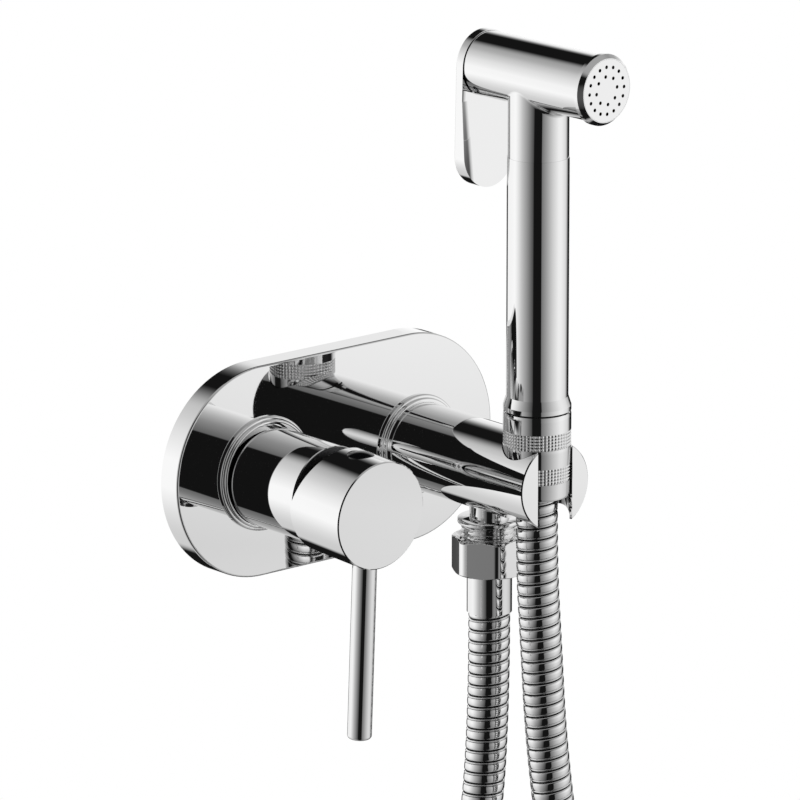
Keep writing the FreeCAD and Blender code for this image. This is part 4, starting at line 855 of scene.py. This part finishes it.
class MIXER_OT_stage(bpy.types.Operator):
    """Adds the camera, the lights, the floor, the wall and the tent of the studio"""
    bl_idname = "mixer.add_stage"
    bl_label = "Studio"

    def execute(self, context):
        stage = context.scene.mixer_stage
        scene = context.scene
        scene.view_settings.view_transform = "Standard"
        ground = cad_box[0].z - FLOOR_DROP
        self.camera(scene, stage)
        self.world(scene, stage)
        self.wall(ground)
        self.floor(ground)
        self.tent(scene, stage)
        self.lamps(scene)
        return {"FINISHED"}

    def camera(self, scene, stage):
        a = stage.azimuth
        e = stage.elevation
        forward = Vector((-math.sin(a) * math.cos(e), math.cos(a) * math.cos(e), -math.sin(e)))
        data = bpy.data.cameras.new("camera")
        data.sensor_fit = "HORIZONTAL"
        data.sensor_width = 36.0
        data.lens = stage.focal
        data.clip_start = 0.1
        data.clip_end = 50.0
        camera = bpy.data.objects.new("camera", data)
        camera.location = CAMERA_TARGET - forward * stage.distance
        camera.rotation_mode = "QUATERNION"
        camera.rotation_quaternion = forward.to_track_quat("-Z", "Y")
        scene.collection.objects.link(camera)
        scene.camera = camera

    def world(self, scene, stage):
        """Pure white for the camera and in mirrors, and an even grey light on what is matte."""
        world = bpy.data.worlds.new("studio")
        scene.world = world
        world.use_nodes = True
        tree = world.node_tree
        tree.nodes.clear()
        rays = add_node(tree, "ShaderNodeLightPath").outputs
        seen = add_node(tree, "ShaderNodeMath", {
            0: rays["Is Camera Ray"], 1: rays["Is Glossy Ray"]}, operation="MAXIMUM")
        seen = add_node(tree, "ShaderNodeMath", {
            0: seen.outputs[0], 1: rays["Is Transmission Ray"]}, operation="MAXIMUM")
        dim = add_node(tree, "ShaderNodeBackground", {
            "Color": (1, 1, 1, 1), "Strength": stage.daylight})
        white = add_node(tree, "ShaderNodeBackground", {"Color": (1, 1, 1, 1), "Strength": 1.0})
        both = add_node(tree, "ShaderNodeMixShader", {
            0: seen.outputs[0], 1: dim.outputs[0], 2: white.outputs[0]})
        add_node(tree, "ShaderNodeOutputWorld", {"Surface": both.outputs[0]})

    def wall(self, low):
        """White wall behind the plate. It shows from the front only, so that the body inside it
        stays in sight from behind, and mirrors look past it at the studio. Since it hides the
        body from the front, mirrors don't show that either."""
        material, tree = new_material("white_wall_paint")
        one_sided(tree, add_node(tree, "ShaderNodeEmission", {
            "Color": (1, 1, 1, 1), "Strength": 1.0}))
        wall = card("wall", [
            (-WALL_REACH, WALL_DEPTH, low), (WALL_REACH, WALL_DEPTH, low),
            (WALL_REACH, WALL_DEPTH, WALL_TOP), (-WALL_REACH, WALL_DEPTH, WALL_TOP)], material)
        wall.visible_glossy = False
        wall.visible_diffuse = False
        wall.visible_shadow = False
        wall.visible_transmission = False
        nodes["valve_body"].visible_glossy = False

    def floor(self, z):
        """Pale studio floor below the hose's loop; it takes the object's shadow."""
        material, tree = new_material("pale_floor_paint")
        place = add_node(tree, "ShaderNodeTexCoord").outputs["Object"]
        mottle = add_node(tree, "ShaderNodeTexNoise", {
            "Vector": place, "Scale": pattern_scale(167.0), "Detail": 3.0})
        rough = add_node(tree, "ShaderNodeMapRange", {
            "Value": mottle.outputs["Fac"], "To Min": 0.75, "To Max": 0.95})
        one_sided(tree, add_node(tree, "ShaderNodeBsdfPrincipled", {
            "Base Color": (*srgb("#ECECEA"), 1.0), "Roughness": rough.outputs["Result"]}))
        floor = card("floor", [
            (-FLOOR_REACH, -FLOOR_REACH, z), (FLOOR_REACH, -FLOOR_REACH, z),
            (FLOOR_REACH, FLOOR_REACH, z), (-FLOOR_REACH, FLOOR_REACH, z)], material)
        floor.visible_glossy = False

    def tent(self, scene, stage):
        """The studio as polished metal sees it, and only that: a round tent of lit cloth."""
        mesh = bpy.data.meshes.new("tent")
        work = bmesh.new()
        bmesh.ops.create_icosphere(work, subdivisions=6, radius=TENT_RADIUS)
        work.to_mesh(mesh)
        work.free()
        mesh.materials.append(studio_cloth())
        tent = bpy.data.objects.new("tent", mesh)
        tent.location = TENT_MIDDLE
        tent.rotation_euler = (0, 0, stage.azimuth)
        scene.collection.objects.link(tent)
        tent.visible_camera = False
        tent.visible_diffuse = False
        tent.visible_shadow = False
        tent.visible_transmission = False

    def lamps(self, scene):
        """Two soft boxes for what is matte; polished metal sees the cloth in their stead."""
        for name, place, size, power in LAMPS:
            data = bpy.data.lights.new(name, "AREA")
            data.shape = "SQUARE"
            data.size = size
            data.energy = power
            lamp = bpy.data.objects.new(name, data)
            lamp.location = place
            aim = LAMP_AIM - Vector(place)
            lamp.rotation_mode = "QUATERNION"
            lamp.rotation_quaternion = aim.to_track_quat("-Z", "Y")
            lamp.visible_glossy = False
            scene.collection.objects.link(lamp)


GROUPS = {"mixer_hose": MixerHose, "mixer_nut": MixerNut, "mixer_finish": MixerFinish,
          "mixer_stage": MixerStage}
STEPS = (MIXER_OT_finishes, MIXER_OT_hose, MIXER_OT_knurled_nut, MIXER_OT_hexagon_nut,
         MIXER_OT_threaded_outlet, MIXER_OT_stage)


class MIXER_PT_panel(bpy.types.Panel):
    bl_idname = "MIXER_PT_panel"
    bl_label = "Bidet shower mixer"
    bl_space_type = "VIEW_3D"
    bl_region_type = "UI"
    bl_category = "Mixer"

    def draw(self, context):
        for group, kind in GROUPS.items():
            box = self.layout.box()
            for name in kind.__annotations__:
                box.prop(getattr(context.scene, group), name)
        for operator in STEPS:
            self.layout.operator(operator.bl_idname)


def register():
    for item in (*GROUPS.values(), *STEPS, MIXER_PT_panel):
        bpy.utils.register_class(item)
    for name, group in GROUPS.items():
        setattr(bpy.types.Scene, name, PointerProperty(type=group))


def unregister():
    for name in GROUPS:
        delattr(bpy.types.Scene, name)
    for item in (MIXER_PT_panel, *reversed(STEPS), *GROUPS.values()):
        bpy.utils.unregister_class(item)


def main():
    register()
    for operator in STEPS:
        category, name = operator.bl_idname.split(".")
        getattr(getattr(bpy.ops, category), name)()


if __name__ == "__main__":
    main()
